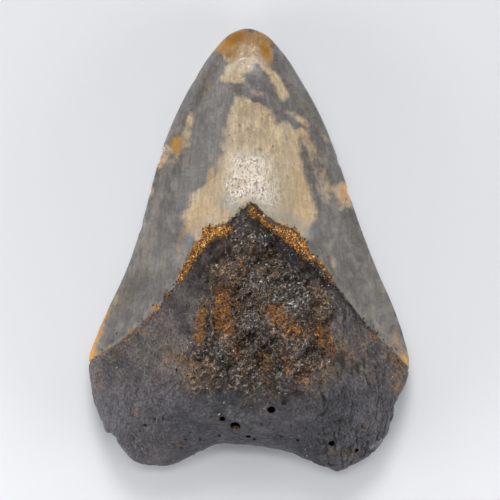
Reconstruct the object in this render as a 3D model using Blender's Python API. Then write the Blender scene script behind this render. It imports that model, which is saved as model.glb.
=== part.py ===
"""A fossil megalodon tooth, 110.5 mm long, lying on its flatter outer face with the domed inner face up.

One solid: a thin-edged enamel crown that grew as one with a thick two-lobed root. +Y runs to the tip,
+X to the tooth's right with the domed face up, +Z up. The origin is under the middle of its bounding box,
on the surface it lies on.

The body is two sheets, the domed face and the outer face, which share the silhouette as their rim. Each
sheet is a grid: columns run from the root's base to the tip, and one row follows the line where the
enamel ends. Chips and nutrient holes are then cut out with Booleans.
"""

import math

import bmesh
import bpy
import numpy as np
from mathutils import Matrix, Vector

MM = 0.001

# --- Driving dimensions ---
TOOTH_LENGTH = 110.5 * MM  # tip to the lower root lobe
TOOTH_WIDTH = 80.0 * MM  # across the shoulders
TOOTH_THICKNESS = 24.0 * MM  # from the surface it lies on to the top of the root's swelling

# --- Silhouette, in mm from the middle of the tooth ---
# Each run starts where the one before it ends. The first goes up the left cutting edge.
LEFT_RUN = [
    (-31.9, -49.4), (-33.6, -46.9), (-35.7, -45.4), (-37.2, -41.8), (-38.6, -37.0), (-39.6, -31.5),
    (-39.9, -27.2), (-38.2, -22.2), (-34.8, -14.3), (-31.0, -6.3), (-28.1, 1.7), (-25.8, 9.7),
    (-23.7, 17.7), (-21.3, 25.7), (-18.0, 33.8), (-13.9, 41.8), (-8.6, 49.8),
]
TIP_RUN = [(-8.6, 49.8), (-4.6, 53.8), (-0.4, 55.2), (3.7, 53.9), (7.9, 49.8)]
RIGHT_RUN = [
    (7.9, 49.8), (13.2, 41.8), (17.6, 33.8), (21.0, 25.7), (23.8, 17.7), (26.4, 9.7), (29.3, 1.7),
    (32.5, -6.3), (36.0, -14.3), (38.7, -22.2), (40.0, -28.5), (39.3, -33.0), (37.0, -37.2),
    (35.9, -41.0), (34.6, -45.6), (32.2, -49.6),
]
BASE_RUN = [
    (32.2, -49.6), (28.9, -52.4), (25.2, -54.3), (21.7, -55.3), (18.9, -54.3), (13.2, -51.8),
    (7.9, -49.8), (2.8, -49.0), (-3.0, -48.7), (-8.4, -48.9), (-13.0, -50.9), (-17.5, -53.2),
    (-22.3, -54.1), (-27.2, -53.4), (-31.9, -49.4),
]

# --- Where the enamel ends: heights in mm along the tooth, read across it ---
LEFT_SHOULDER = -28.0
RIGHT_SHOULDER = -29.6
DOMED_FACE_LINE = [
    (-39.8, LEFT_SHOULDER), (-32.3, -23.2), (-27.3, -19.0), (-22.3, -14.4), (-19.0, -10.6), (-16.5, -6.2),
    (-13.0, -0.5), (-9.8, 4.3), (-5.3, 6.8), (-2.2, 8.8), (0.8, 11.4), (3.3, 9.2), (6.5, 6.8),
    (11.3, 4.3), (14.8, -0.5), (19.0, -4.9), (22.8, -10.5), (26.8, -16.0), (31.0, -21.0),
    (34.8, -24.3), (39.9, RIGHT_SHOULDER),
]
OUTER_FACE_LINE = [
    (-39.8, LEFT_SHOULDER), (-24.0, -22.6), (0.0, -19.6), (24.0, -23.4), (39.9, RIGHT_SHOULDER),
]

# --- Heights in mm above the surface it lies on, given along the tooth ---
RIM_HEIGHT = [(-55.3, 6.2), (-44.0, 6.8), (-34.0, 6.2), (-26.0, 4.6), (0.0, 3.2), (30.0, 2.5), (55.2, 2.4)]
DOMED_FACE_HEIGHT = [
    (-55.3, 17.0), (-49.0, 19.0), (-42.0, 21.3), (-34.0, 22.6), (-24.0, 22.5), (-14.0, 21.0), (-4.0, 18.9),
    (6.0, 16.9), (16.0, 14.9), (26.0, 12.7), (36.0, 10.6), (45.0, 8.6), (55.2, 6.2),
]
OUTER_FACE_HEIGHT = [
    (-55.3, 1.6), (-44.0, 1.5), (-20.0, 1.2), (0.0, 0.8), (18.0, 0.2), (28.0, -0.2), (40.0, -0.2),
    (55.2, 0.4),
]

# --- Edges: how a section closes towards the silhouette ---
DOMED_CROWN_POWER = 1.25  # over 1: the blade thins in a hollow curve
OUTER_CROWN_POWER = 0.85
ROOT_POWER = 0.58  # about a half: the root's sides are round
EDGE_WEAR = 0.09  # share of a round edge in the worn blade
BLADE_ENDS_AT = -25.0  # mm along the tooth, where the blade starts to turn into the round root
ROOT_SIDE_STARTS_AT = -35.0
BASE_ROUNDING = 0.17  # share of the length over which the root's base rounds off
TIP_ROUNDING = 0.16
BASE_POWER = 0.5
TIP_POWER = 0.62

# --- Relief, in mm ---
SWELLING = (2.6, 0.0, -19.0, 15.0, 12.0)  # height, centre across and along, spread across and along
LOBE_DROP = (4.5, 21.5, -41.0, 10.5, 8.0)  # the root's lobes reach down to the surface it lies on
OUTER_HOLLOW = (0.6, 0.0, -9.0, 13.0, 10.0)  # a shallow hollow above the middle of the outer enamel line
DOMED_ROOT_STEP = 0.55  # the root stands this far proud of the enamel
OUTER_ROOT_STEP = 0.45  # the root is set back this far behind the enamel
LUMPS = [(0.42, 7.5, 11), (0.16, 3.9, 12)]  # height, size and seed of the root's hills
HILL_TABLE = 64  # random heights each way in the table the hills are read from

# --- Grid ---
COLUMNS = 44
ROWS = 52
ROOT_ROWS = 22  # of the rows, those from the base to the enamel's end
RIM_CROWDING = 0.8  # 0 spaces the grid evenly, 1 crowds it fully at the silhouette
LINE_SEARCH_STEPS = 400

# --- Cuts: centres in mm across and along, and sizes in mm ---
# The middle of a chip's ball lies this far outside the edge and above it.
CHIPS = [
    # along, side (-1 left, 1 right), ball radius, outside, above
    (14.2, 1, 3.3, 1.3, 2.5),
    (23.6, -1, 2.6, 1.2, 1.9),
    (14.6, -1, 1.7, 1.0, 1.1),
]
NUTRIENT_HOLES = [
    # across, along, radius, depth
    (-3.2, -44.2, 1.15, 2.0),
    (5.5, -40.3, 0.8, 1.6),
    (-6.7, -42.6, 0.6, 0.9),
    (-0.2, -46.8, 0.6, 0.9),
    (20.5, -48.4, 0.8, 1.1),
    (26.5, -50.0, 0.6, 0.9),
]
BALL_SUBDIVISIONS = 3
HOLE_SIDES = 16
HOLE_FLARE = 0.4  # a hole is this share wider one depth above the face, and as much narrower at its bottom
SHARP_ANGLE = math.radians(35)  # edges sharper than this are shaded as edges

ENAMEL_GREY = (0.21, 0.20, 0.19, 1.0)
ENAMEL_ROUGHNESS = 0.35


def clear_scene():
    for old in list(bpy.data.objects):
        bpy.data.objects.remove(old)


# --- Curves ---


def hermite(knots, values, slopes, at):
    """A cubic between neighbouring knots, with the given values and slopes, read at any array of places."""
    at = np.asarray(at, float)
    i = np.clip(np.searchsorted(knots, at, side="right") - 1, 0, len(knots) - 2)
    step = knots[i + 1] - knots[i]
    t = (at - knots[i]) / step
    if values.ndim > 1:
        step, t = step[..., None], t[..., None]
    start = (1 + 2 * t) * (1 - t) ** 2 * values[i] + t * (1 - t) ** 2 * step * slopes[i]
    end = t**2 * (3 - 2 * t) * values[i + 1] + t**2 * (t - 1) * step * slopes[i + 1]
    return start + end


def through(stations, at):
    """A smooth curve through (place, height) stations, level past both ends."""
    knots, values = np.array(stations, float).T
    slopes = np.gradient(values, knots)
    return hermite(knots, values, slopes, np.clip(at, knots[0], knots[-1]))


class Silhouette:
    """The closed outline as one smooth loop, read along each of its four runs from 0 to 1."""

    def __init__(self, *runs):
        loop = np.array([point for run in runs for point in run[:-1]], float)
        ring = np.concatenate([loop[-2:], loop, loop[:3]])
        lengths = np.linalg.norm(np.diff(ring, axis=0), axis=1)
        places = np.concatenate([[0.0], np.cumsum(lengths)])
        slopes = np.gradient(ring, places, axis=0)
        self.points, self.slopes, self.places = ring, slopes, places
        corners = np.cumsum([2] + [len(run) - 1 for run in runs])
        self.ends = [(places[a], places[b]) for a, b in zip(corners[:-1], corners[1:])]

    def along(self, run, share, backwards=False):
        first, last = self.ends[run]
        if backwards:
            first, last = last, first
        return hermite(self.places, self.points, self.slopes, first + (last - first) * np.asarray(share))


OUTLINE = Silhouette(LEFT_RUN, TIP_RUN, RIGHT_RUN, BASE_RUN)
LEFT, TIP, RIGHT, BASE = range(4)


def patch(u, v):
    """The plan of the tooth, bent to its four runs (a Coons patch): u runs left to right, v base to tip."""
    left, right = OUTLINE.along(LEFT, v), OUTLINE.along(RIGHT, v, backwards=True)
    base, tip = OUTLINE.along(BASE, u, backwards=True), OUTLINE.along(TIP, u)
    corners = [OUTLINE.along(side, end) for side, end in ((LEFT, 0), (RIGHT, 1), (LEFT, 1), (RIGHT, 0))]
    u, v = u[..., None], v[..., None]
    sides = (1 - u) * left + u * right + (1 - v) * base + v * tip
    flat = (1 - v) * ((1 - u) * corners[0] + u * corners[1]) + v * ((1 - u) * corners[2] + u * corners[3])
    return sides - flat


# --- Grid ---


def crowded(count):
    """Shares from 0 to 1 that crowd towards both ends, where the surface turns over the rim."""
    even = np.linspace(0, 1, count + 1)
    return (1 - RIM_CROWDING) * even + RIM_CROWDING * (1 - np.cos(np.pi * even)) / 2


def line_share(u, line):
    """For each column, the share of its length at which it meets the line where the enamel ends."""
    v = np.linspace(0, 1, LINE_SEARCH_STEPS + 1)
    u_grid, v_grid = np.meshgrid(u, v, indexing="ij")
    plan = patch(u_grid, v_grid)
    below = plan[..., 1] < through(line, plan[..., 0])
    last = LINE_SEARCH_STEPS - np.argmax(below[:, ::-1], axis=1)
    share = v[last]
    for column, run, shoulder in ((0, LEFT, LEFT_SHOULDER), (-1, RIGHT, RIGHT_SHOULDER)):
        heights = OUTLINE.along(run, v, backwards=run == RIGHT)[:, 1]
        share[column] = np.interp(shoulder, heights, v)
    return share


def sheet_plan(line):
    """(u, v, plan) of one sheet. Row ROOT_ROWS follows the line, and the others spread out on both sides."""
    u = crowded(COLUMNS)
    even_v = crowded(ROWS)
    middle = even_v[ROOT_ROWS]
    meets = line_share(u, line)[:, None]
    v = np.where(even_v <= middle, even_v / middle * meets, 1 - (1 - even_v) / (1 - middle) * (1 - meets))
    u = np.broadcast_to(u[:, None], v.shape)
    return u, v, patch(u, v)


# --- Heights ---


def smoothstep(share):
    share = np.clip(share, 0, 1)
    return share**2 * (3 - 2 * share)


def rounded(share, power):
    """0 at a rim and 1 once share reaches 1: a quarter of an ellipse at power 0.5."""
    return (1 - (1 - np.clip(share, 0, 1)) ** 2) ** power


def fullness(u, v, along, crown_power):
    """How much of its full height a sheet has: 0 all round the silhouette."""
    across = 1 - (2 * u - 1) ** 2
    blade = (1 - EDGE_WEAR) * across**crown_power + EDGE_WEAR * across**0.5
    root_side = smoothstep((BLADE_ENDS_AT - along) / (BLADE_ENDS_AT - ROOT_SIDE_STARTS_AT))
    section = blade * (1 - root_side) + across**ROOT_POWER * root_side
    return section * rounded(v / BASE_ROUNDING, BASE_POWER) * rounded((1 - v) / TIP_ROUNDING, TIP_POWER)


def mound(plan, height, across, along, spread_across, spread_along):
    """A bell-shaped rise."""
    apart = ((plan[..., 0] - across) / spread_across) ** 2 + ((plan[..., 1] - along) / spread_along) ** 2
    return height * np.exp(-apart)


def lumps(plan, size, seed):
    """Smooth random hills from -1 to 1, one about every size mm."""
    table = np.random.default_rng(seed).uniform(-1, 1, (HILL_TABLE, HILL_TABLE))
    place = plan / size
    cell = np.floor(place).astype(int)
    t = smoothstep(place - cell)
    x, y = cell[..., 0] % HILL_TABLE, cell[..., 1] % HILL_TABLE
    x2, y2 = (x + 1) % HILL_TABLE, (y + 1) % HILL_TABLE
    low = table[x, y] * (1 - t[..., 0]) + table[x2, y] * t[..., 0]
    high = table[x, y2] * (1 - t[..., 0]) + table[x2, y2] * t[..., 0]
    return low * (1 - t[..., 1]) + high * t[..., 1]


def root_share(row):
    """0 on the enamel, 1 on the root, changing within one row below the line."""
    return np.clip(ROOT_ROWS - row, 0, 1)


def domed_face():
    u, v, plan = sheet_plan(DOMED_FACE_LINE)
    along = plan[..., 1]
    rim = through(RIM_HEIGHT, along)
    full = fullness(u, v, along, DOMED_CROWN_POWER)
    on_root = root_share(np.arange(ROWS + 1))
    hills = sum(height * lumps(plan, size, seed) for height, size, seed in LUMPS)
    relief = mound(plan, *SWELLING) + (DOMED_ROOT_STEP + hills) * on_root
    height = rim + (through(DOMED_FACE_HEIGHT, along) + relief - rim) * full
    return np.dstack([plan, height])


def outer_face():
    u, v, plan = sheet_plan(OUTER_FACE_LINE)
    along = plan[..., 1]
    rim = through(RIM_HEIGHT, along)
    drop, across, lobe_along, *spread = LOBE_DROP
    lobes = sum(mound(plan, drop, side * across, lobe_along, *spread) for side in (-1, 1))
    on_root = root_share(np.arange(ROWS + 1))
    relief = mound(plan, *OUTER_HOLLOW) + OUTER_ROOT_STEP * on_root - lobes
    lowest = through(OUTER_FACE_HEIGHT, along) + relief
    height = rim - (rim - lowest) * fullness(u, v, along, OUTER_CROWN_POWER)
    return np.dstack([plan, np.maximum(height, 0)])


# --- Solid ---


def to_size(sheets):
    """The sheets in metres, stretched to the driving dimensions, with the origin under their box's middle."""
    corners = np.concatenate([sheet.reshape(-1, 3) for sheet in sheets])
    low, high = corners.min(0), corners.max(0)
    wanted = np.array([TOOTH_WIDTH, TOOTH_LENGTH, TOOTH_THICKNESS])
    origin = np.array([(low[0] + high[0]) / 2, (low[1] + high[1]) / 2, low[2]])
    return [(sheet - origin) * wanted / (high - low) for sheet in sheets]


def closed_mesh(name, upper, lower):
    """Both sheets as one closed mesh. The lower one borrows the upper one's rim."""
    columns, rows = upper.shape[0] - 1, upper.shape[1] - 1
    upper_index = np.arange((columns + 1) * (rows + 1)).reshape(columns + 1, rows + 1)
    inside = np.zeros_like(upper_index, bool)
    inside[1:-1, 1:-1] = True
    lower_index = upper_index.copy()
    lower_index[inside] = upper_index.size + np.arange(inside.sum())
    points = np.concatenate([upper.reshape(-1, 3), lower[inside]])
    a, b, c, d = (upper_index[:-1, :-1], upper_index[1:, :-1], upper_index[1:, 1:], upper_index[:-1, 1:])
    top = np.stack([a, b, c, d], axis=-1).reshape(-1, 4)
    a, b, c, d = (lower_index[:-1, :-1], lower_index[:-1, 1:], lower_index[1:, 1:], lower_index[1:, :-1])
    bottom = np.stack([a, b, c, d], axis=-1).reshape(-1, 4)
    mesh = bpy.data.meshes.new(name)
    mesh.from_pydata(points.tolist(), [], np.concatenate([top, bottom]).tolist())
    mesh.update()
    return mesh


def new_object(name, mesh):
    made = bpy.data.objects.new(name, mesh)
    bpy.context.scene.collection.objects.link(made)
    return made


def enamel_material():
    material = bpy.data.materials.new("worn_fossil_enamel")
    material.use_nodes = True
    shader = material.node_tree.nodes["Principled BSDF"]
    shader.inputs["Base Color"].default_value = ENAMEL_GREY
    shader.inputs["Roughness"].default_value = ENAMEL_ROUGHNESS
    shader.inputs["Metallic"].default_value = 0.0
    return material


# --- Cuts ---


def hidden_cutter(name, shape):
    mesh = bpy.data.meshes.new(name)
    shape.to_mesh(mesh)
    shape.free()
    cutter = new_object(name, mesh)
    cutter.hide_render = True
    cutter.display_type = "WIRE"
    return cutter


def edge_point(along, side):
    """Where the cutting edge is at this height along the tooth, in metres."""
    run, backwards = (LEFT, False) if side < 0 else (RIGHT, True)
    shares = np.linspace(0, 1, LINE_SEARCH_STEPS + 1)
    points = OUTLINE.along(run, shares, backwards)
    across = np.interp(along, points[:, 1], points[:, 0])
    return Vector((across, along, float(through(RIM_HEIGHT, along)))) * MM


def chip_cutter():
    """A ball for each chip, which leaves a hollow scar and a nick in the edge."""
    shape = bmesh.new()
    for along, side, radius, outside, above in CHIPS:
        centre = edge_point(along, side) + Vector((side * outside, 0, above)) * MM
        bmesh.ops.create_icosphere(
            shape, subdivisions=BALL_SUBDIVISIONS, radius=radius * MM, matrix=Matrix.Translation(centre)
        )
    return hidden_cutter("chip_balls", shape)


def hole_cutter(body):
    """A tapered plug for each nutrient hole, square to the face it enters."""
    shape = bmesh.new()
    down = Vector((0, 0, -1))
    for across, along, radius, depth in NUTRIENT_HOLES:
        above = Vector((across * MM, along * MM, 2 * TOOTH_THICKNESS))
        found, place, normal, _ = body.ray_cast(above, down)
        if not found:
            raise ValueError(f"no face under the hole at {across}, {along}")
        turn = normal.to_track_quat("Z", "Y").to_matrix().to_4x4()
        bmesh.ops.create_cone(
            shape,
            cap_ends=True,
            segments=HOLE_SIDES,
            radius1=radius * (1 - HOLE_FLARE) * MM,
            radius2=radius * (1 + HOLE_FLARE) * MM,
            depth=2 * depth * MM,
            matrix=Matrix.Translation(place) @ turn,
        )
    return hidden_cutter("hole_plugs", shape)


def cut(body, cutter):
    modifier = body.modifiers.new(cutter.name, "BOOLEAN")
    modifier.operation = "DIFFERENCE"
    modifier.object = cutter


def main():
    clear_scene()
    upper, lower = to_size([domed_face(), outer_face()])
    tooth = new_object("tooth", closed_mesh("tooth", upper, lower))
    tooth.data.materials.append(enamel_material())
    tooth.data.shade_smooth()
    tooth.data.set_sharp_from_angle(angle=SHARP_ANGLE)
    bpy.context.view_layer.update()
    cut(tooth, chip_cutter())
    cut(tooth, hole_cutter(tooth))


main()
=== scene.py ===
# %% [markdown]
# # A fossil megalodon tooth
# The object is one tooth: a triangular crown of glossy enamel on a thick root with two lobes. It lies on the
# flatter of its two faces, so the domed face looks up. All of it is one skin, worked out with numpy: first the
# outline, then two curved sheets that share the outline as their rim, then the relief, the chips and the stains.
# Loose grains of rust and mineral that stuck to the root are small meshes of their own.

import math

import bpy
import numpy as np
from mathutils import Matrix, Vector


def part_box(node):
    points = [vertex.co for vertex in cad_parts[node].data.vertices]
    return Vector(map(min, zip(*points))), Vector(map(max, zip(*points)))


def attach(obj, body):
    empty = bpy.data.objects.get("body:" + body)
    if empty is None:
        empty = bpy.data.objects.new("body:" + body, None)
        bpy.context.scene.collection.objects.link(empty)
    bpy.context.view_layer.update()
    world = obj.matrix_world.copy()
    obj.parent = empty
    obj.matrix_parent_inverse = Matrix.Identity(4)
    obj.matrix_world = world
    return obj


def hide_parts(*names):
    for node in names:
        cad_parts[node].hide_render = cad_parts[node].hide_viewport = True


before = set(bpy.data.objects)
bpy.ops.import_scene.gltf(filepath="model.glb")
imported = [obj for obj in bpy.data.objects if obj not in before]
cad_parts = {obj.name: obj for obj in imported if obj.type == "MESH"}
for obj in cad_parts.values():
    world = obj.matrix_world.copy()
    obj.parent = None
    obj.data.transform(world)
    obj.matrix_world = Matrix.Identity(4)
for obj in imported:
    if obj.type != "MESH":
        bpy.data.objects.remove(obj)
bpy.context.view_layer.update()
MM = 0.001
tooth_low, tooth_high = (np.array(corner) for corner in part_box("tooth"))
print("the tooth's solid, in mm:", np.round((tooth_high - tooth_low) / MM, 2))

# %% [markdown]
# ## The outline
# Seen from above, a tooth is its outline. It could be one long list of points, but a curve needs far fewer: here
# four runs of points, up the left cutting edge, over the worn tip, down the right edge and back along the root.
# A cubic through the points has a value and a slope at each, so the loop is smooth where the runs meet as well.

# %% Curves through points
def hermite(knots, values, slopes, at):
    """A cubic between neighbouring knots. At each knot it has the knot's value and slope."""
    at = np.asarray(at, float)
    i = np.clip(np.searchsorted(knots, at, side="right") - 1, 0, len(knots) - 2)
    step = knots[i + 1] - knots[i]
    t = (at - knots[i]) / step
    if values.ndim > 1:
        step, t = step[..., None], t[..., None]
    start = (1 + 2 * t) * (1 - t) ** 2 * values[i] + t * (1 - t) ** 2 * step * slopes[i]
    end = t**2 * (3 - 2 * t) * values[i + 1] + t**2 * (t - 1) * step * slopes[i + 1]
    return start + end


def through(stations, at):
    """A smooth curve through (place, value) stations, level past both ends."""
    knots, values = np.array(stations, float).T
    slopes = np.gradient(values, knots)
    return hermite(knots, values, slopes, np.clip(at, knots[0], knots[-1]))


def smoothstep(share):
    """0 up to 0, 1 from 1, and 3 s^2 - 2 s^3 between them."""
    share = np.clip(share, 0, 1)
    return share**2 * (3 - 2 * share)


# %% The four runs, in mm from the middle of the tooth, +Y towards the tip
LEFT_EDGE = [
    (-31.9, -49.4), (-33.6, -46.9), (-35.7, -45.4), (-37.2, -41.8), (-38.6, -37.0), (-39.6, -31.5),
    (-39.9, -27.2), (-38.2, -22.2), (-34.8, -14.3), (-31.0, -6.3), (-28.1, 1.7), (-25.8, 9.7),
    (-23.7, 17.7), (-21.3, 25.7), (-18.0, 33.8), (-13.9, 41.8), (-8.6, 49.8),
]
TIP = [(-8.6, 49.8), (-4.6, 53.8), (-0.4, 55.2), (3.7, 53.9), (7.9, 49.8)]
RIGHT_EDGE = [
    (7.9, 49.8), (13.2, 41.8), (17.6, 33.8), (21.0, 25.7), (23.8, 17.7), (26.4, 9.7), (29.3, 1.7),
    (32.5, -6.3), (36.0, -14.3), (38.7, -22.2), (40.0, -28.5), (39.3, -33.0), (37.0, -37.2),
    (35.9, -41.0), (34.6, -45.6), (32.2, -49.6),
]
ROOT_BASE = [
    (32.2, -49.6), (28.9, -52.4), (25.2, -54.3), (21.7, -55.3), (18.9, -54.3), (13.2, -51.8),
    (7.9, -49.8), (2.8, -49.0), (-3.0, -48.7), (-8.4, -48.9), (-13.0, -50.9), (-17.5, -53.2),
    (-22.3, -54.1), (-27.2, -53.4), (-31.9, -49.4),
]
RUNS = (LEFT_EDGE, TIP, RIGHT_EDGE, ROOT_BASE)

loop = np.array([point for run in RUNS for point in run[:-1]], float)
ring = np.concatenate([loop[-2:], loop, loop[:3]])
places = np.concatenate([[0.0], np.cumsum(np.linalg.norm(np.diff(ring, axis=0), axis=1))])
ring_slopes = np.gradient(ring, places, axis=0)
corners = np.cumsum([2] + [len(run) - 1 for run in RUNS])


def outline(run, share, backwards=False):
    """The outline along run number `run`, at each share of its length from 0 to 1."""
    first, last = places[corners[run]], places[corners[run + 1]]
    if backwards:
        first, last = last, first
    return hermite(places, ring, ring_slopes, first + (last - first) * np.asarray(share))


print("the outline is", round(float(places[corners[-1]] - places[corners[0]]), 1), "mm round")

# %% [markdown]
# ## A grid inside the outline
# Relief and stains need a fine, even grid whose lines follow the tooth, not straight rows that the outline would
# cut. A Coons patch gives that: it bends a square to four curves, as if its four sides were pulled onto them. Its
# two parameters are u, from the left edge to the right, and v, from the root's base to the tip. The rows are
# then slid so that one of them runs along the line where the enamel ends, and most rows lie on the rough root.

# %% The patch
def patch(u, v):
    """Both pairs of facing sides are blended, and the blend of the four corners is taken off, as it is in twice."""
    left, right = outline(0, v), outline(2, v, backwards=True)
    base, tip = outline(3, u, backwards=True), outline(1, u)
    at_corners = [outline(run, end) for run, end in ((0, 0), (2, 1), (0, 1), (2, 0))]
    u, v = u[..., None], v[..., None]
    sides = (1 - u) * left + u * right + (1 - v) * base + v * tip
    base_corners = (1 - u) * at_corners[0] + u * at_corners[1]
    tip_corners = (1 - u) * at_corners[2] + u * at_corners[3]
    return sides - (1 - v) * base_corners - v * tip_corners


# %% Where the enamel ends, on the domed face and on the outer face
LEFT_SHOULDER = -28.0
RIGHT_SHOULDER = -29.6
DOMED_FACE_LINE = [
    (-39.8, LEFT_SHOULDER), (-32.3, -23.2), (-27.3, -19.0), (-22.3, -14.4), (-19.0, -10.6), (-16.5, -6.2),
    (-13.0, -0.5), (-9.8, 4.3), (-5.3, 6.8), (-2.2, 8.8), (0.8, 11.4), (3.3, 9.2), (6.5, 6.8),
    (11.3, 4.3), (14.8, -0.5), (19.0, -4.9), (22.8, -10.5), (26.8, -16.0), (31.0, -21.0),
    (34.8, -24.3), (39.9, RIGHT_SHOULDER),
]
OUTER_FACE_LINE = [
    (-39.8, LEFT_SHOULDER), (-24.0, -22.6), (0.0, -19.6), (24.0, -23.4), (39.9, RIGHT_SHOULDER),
]

# %% The grid's rows and columns
COLUMNS = 236
ROWS = 324
ROOT_ROWS = 206  # of the rows, those below the enamel's end
RIM_CROWDING = 0.55  # 0 spaces the lines evenly, 1 crowds them fully at the rim
SEARCH_STEPS = 800


def crowded(count):
    """Shares from 0 to 1: a blend of even steps and of (1 - cos(pi s)) / 2, which crowds at both ends."""
    even = np.linspace(0, 1, count + 1)
    return (1 - RIM_CROWDING) * even + RIM_CROWDING * (1 - np.cos(np.pi * even)) / 2


def meeting_share(u, line):
    """For each column, the v at which it crosses the enamel's end: the last step that is still below the line."""
    v = np.linspace(0, 1, SEARCH_STEPS + 1)
    plan = patch(*np.meshgrid(u, v, indexing="ij"))
    below = plan[..., 1] < through(line, plan[..., 0])
    share = v[SEARCH_STEPS - np.argmax(below[:, ::-1], axis=1)]
    for column, run, shoulder in ((0, 0, LEFT_SHOULDER), (-1, 2, RIGHT_SHOULDER)):
        share[column] = np.interp(shoulder, outline(run, v, backwards=run == 2)[:, 1], v)
    return share


def sheet_plan(line):
    """(u, v, plan): v runs evenly up to the line in ROOT_ROWS rows, and from there to the tip in the others."""
    u, even_v = crowded(COLUMNS), crowded(ROWS)
    middle = even_v[ROOT_ROWS]
    meets = meeting_share(u, line)[:, None]
    v = np.where(even_v <= middle, even_v / middle * meets, 1 - (1 - even_v) / (1 - middle) * (1 - meets))
    u = np.broadcast_to(u[:, None], v.shape)
    return u, v, patch(u, v)


# %% [markdown]
# ## Heights
# A shark's tooth is a blade. Across it, the domed face swells from two thin edges, in a hollow curve near each
# edge, and the root below is round-sided. Along it, the root is the thickest part and the tip the thinnest. So a
# height is the rim's height plus a fullness from 0 to 1 times what the middle adds at that place.

# %% Heights of the rim and of both faces, along the tooth, in mm
RIM_HEIGHT = [(-55.3, 6.2), (-44.0, 6.8), (-34.0, 6.2), (-26.0, 4.6), (0.0, 3.2), (30.0, 2.5), (55.2, 2.4)]
DOMED_FACE_HEIGHT = [
    (-55.3, 17.0), (-49.0, 19.0), (-42.0, 21.3), (-34.0, 22.6), (-24.0, 22.5), (-14.0, 21.0), (-4.0, 18.9),
    (6.0, 16.9), (16.0, 14.9), (26.0, 12.7), (36.0, 10.6), (45.0, 8.6), (55.2, 6.2),
]
OUTER_FACE_HEIGHT = [
    (-55.3, 1.6), (-44.0, 1.5), (-20.0, 1.2), (0.0, 0.8), (18.0, 0.2), (28.0, -0.2), (40.0, -0.2), (55.2, 0.4),
]

# %% How a section closes towards the rim
DOMED_CROWN_POWER = 1.25
OUTER_CROWN_POWER = 0.85
ROOT_POWER = 0.58
EDGE_WEAR = 0.09
BLADE_ENDS_AT = -25.0
ROOT_SIDE_STARTS_AT = -35.0
BASE_ROUNDING, BASE_POWER = 0.17, 0.5
TIP_ROUNDING, TIP_POWER = 0.16, 0.62


def rounded(share, power):
    """(1 - (1 - s)^2)^power: 0 at a rim and 1 once s reaches 1, a quarter of an ellipse at power 0.5."""
    return (1 - (1 - np.clip(share, 0, 1)) ** 2) ** power


def fullness(u, v, along, crown_power):
    """1 - (2u - 1)^2 to a power: above 1 it is the crown's hollow blade, near a half the root's round side."""
    across = 1 - (2 * u - 1) ** 2
    blade = (1 - EDGE_WEAR) * across**crown_power + EDGE_WEAR * np.sqrt(across)
    root_side = smoothstep((BLADE_ENDS_AT - along) / (BLADE_ENDS_AT - ROOT_SIDE_STARTS_AT))
    section = blade * (1 - root_side) + across**ROOT_POWER * root_side
    return section * rounded(v / BASE_ROUNDING, BASE_POWER) * rounded((1 - v) / TIP_ROUNDING, TIP_POWER)


# %% Both sheets
SWELLING = (2.6, 0.0, -19.0, 15.0, 12.0)  # height, centre across and along, spread across and along
LOBE_DROP = (4.5, 21.5, -41.0, 10.5, 8.0)
OUTER_HOLLOW = (0.6, 0.0, -9.0, 13.0, 10.0)
DOMED_ROOT_STEP = 0.55
OUTER_ROOT_STEP = 0.45
STEP_ROWS = 5  # the step at the enamel's end is spread over this many rows


def mound(plan, height, across, along, spread_across, spread_along):
    """A bell: height times e to the minus squared distance, counted in spreads."""
    apart = ((plan[..., 0] - across) / spread_across) ** 2 + ((plan[..., 1] - along) / spread_along) ** 2
    return height * np.exp(-apart)


on_root = smoothstep((ROOT_ROWS - np.arange(ROWS + 1)) / STEP_ROWS)

u, v, plan = sheet_plan(DOMED_FACE_LINE)
rim = through(RIM_HEIGHT, plan[..., 1])
top = through(DOMED_FACE_HEIGHT, plan[..., 1]) + mound(plan, *SWELLING) + DOMED_ROOT_STEP * on_root
domed = np.dstack([plan, rim + (top - rim) * fullness(u, v, plan[..., 1], DOMED_CROWN_POWER)])
domed_uv = np.dstack([u, v])

u, v, plan = sheet_plan(OUTER_FACE_LINE)
rim = through(RIM_HEIGHT, plan[..., 1])
drop, lobe_across, *lobe_rest = LOBE_DROP
lobes = sum(mound(plan, drop, side * lobe_across, *lobe_rest) for side in (-1, 1))
bottom = through(OUTER_FACE_HEIGHT, plan[..., 1]) + mound(plan, *OUTER_HOLLOW) - lobes + OUTER_ROOT_STEP * on_root
outer = np.dstack([plan, rim - (rim - bottom) * fullness(u, v, plan[..., 1], OUTER_CROWN_POWER)])
outer_uv = np.dstack([u, v])
print("domed sheet's top, mm:", round(float(domed[..., 2].max()), 2))

# %% [markdown]
# ## One closed skin
# The domed sheet faces up and is seen most, so it keeps the whole grid. The outer sheet keeps every second line
# each way. Along the rim each of its quads then has one more corner, the domed sheet's point in between, so
# the two sheets share the rim and the skin is closed.

# %% Stretch to the solid's size and join the sheets
everything = np.concatenate([domed.reshape(-1, 3), np.maximum(outer, 0).reshape(-1, 3)])
sheet_low, sheet_high = everything.min(0), everything.max(0)
stretch = (tooth_high - tooth_low) / (sheet_high - sheet_low)
domed = tooth_low / MM + (domed - sheet_low) * stretch / MM
outer = tooth_low / MM + (outer - sheet_low) * stretch / MM

fine = np.arange((COLUMNS + 1) * (ROWS + 1)).reshape(COLUMNS + 1, ROWS + 1)
coarse = fine[::2, ::2].copy()
coarse[1:-1, 1:-1] = fine.size + np.arange((COLUMNS // 2 - 1) * (ROWS // 2 - 1)).reshape(COLUMNS // 2 - 1, -1)
points = np.concatenate([domed.reshape(-1, 3), outer[2:-2:2, 2:-2:2].reshape(-1, 3)])

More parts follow.
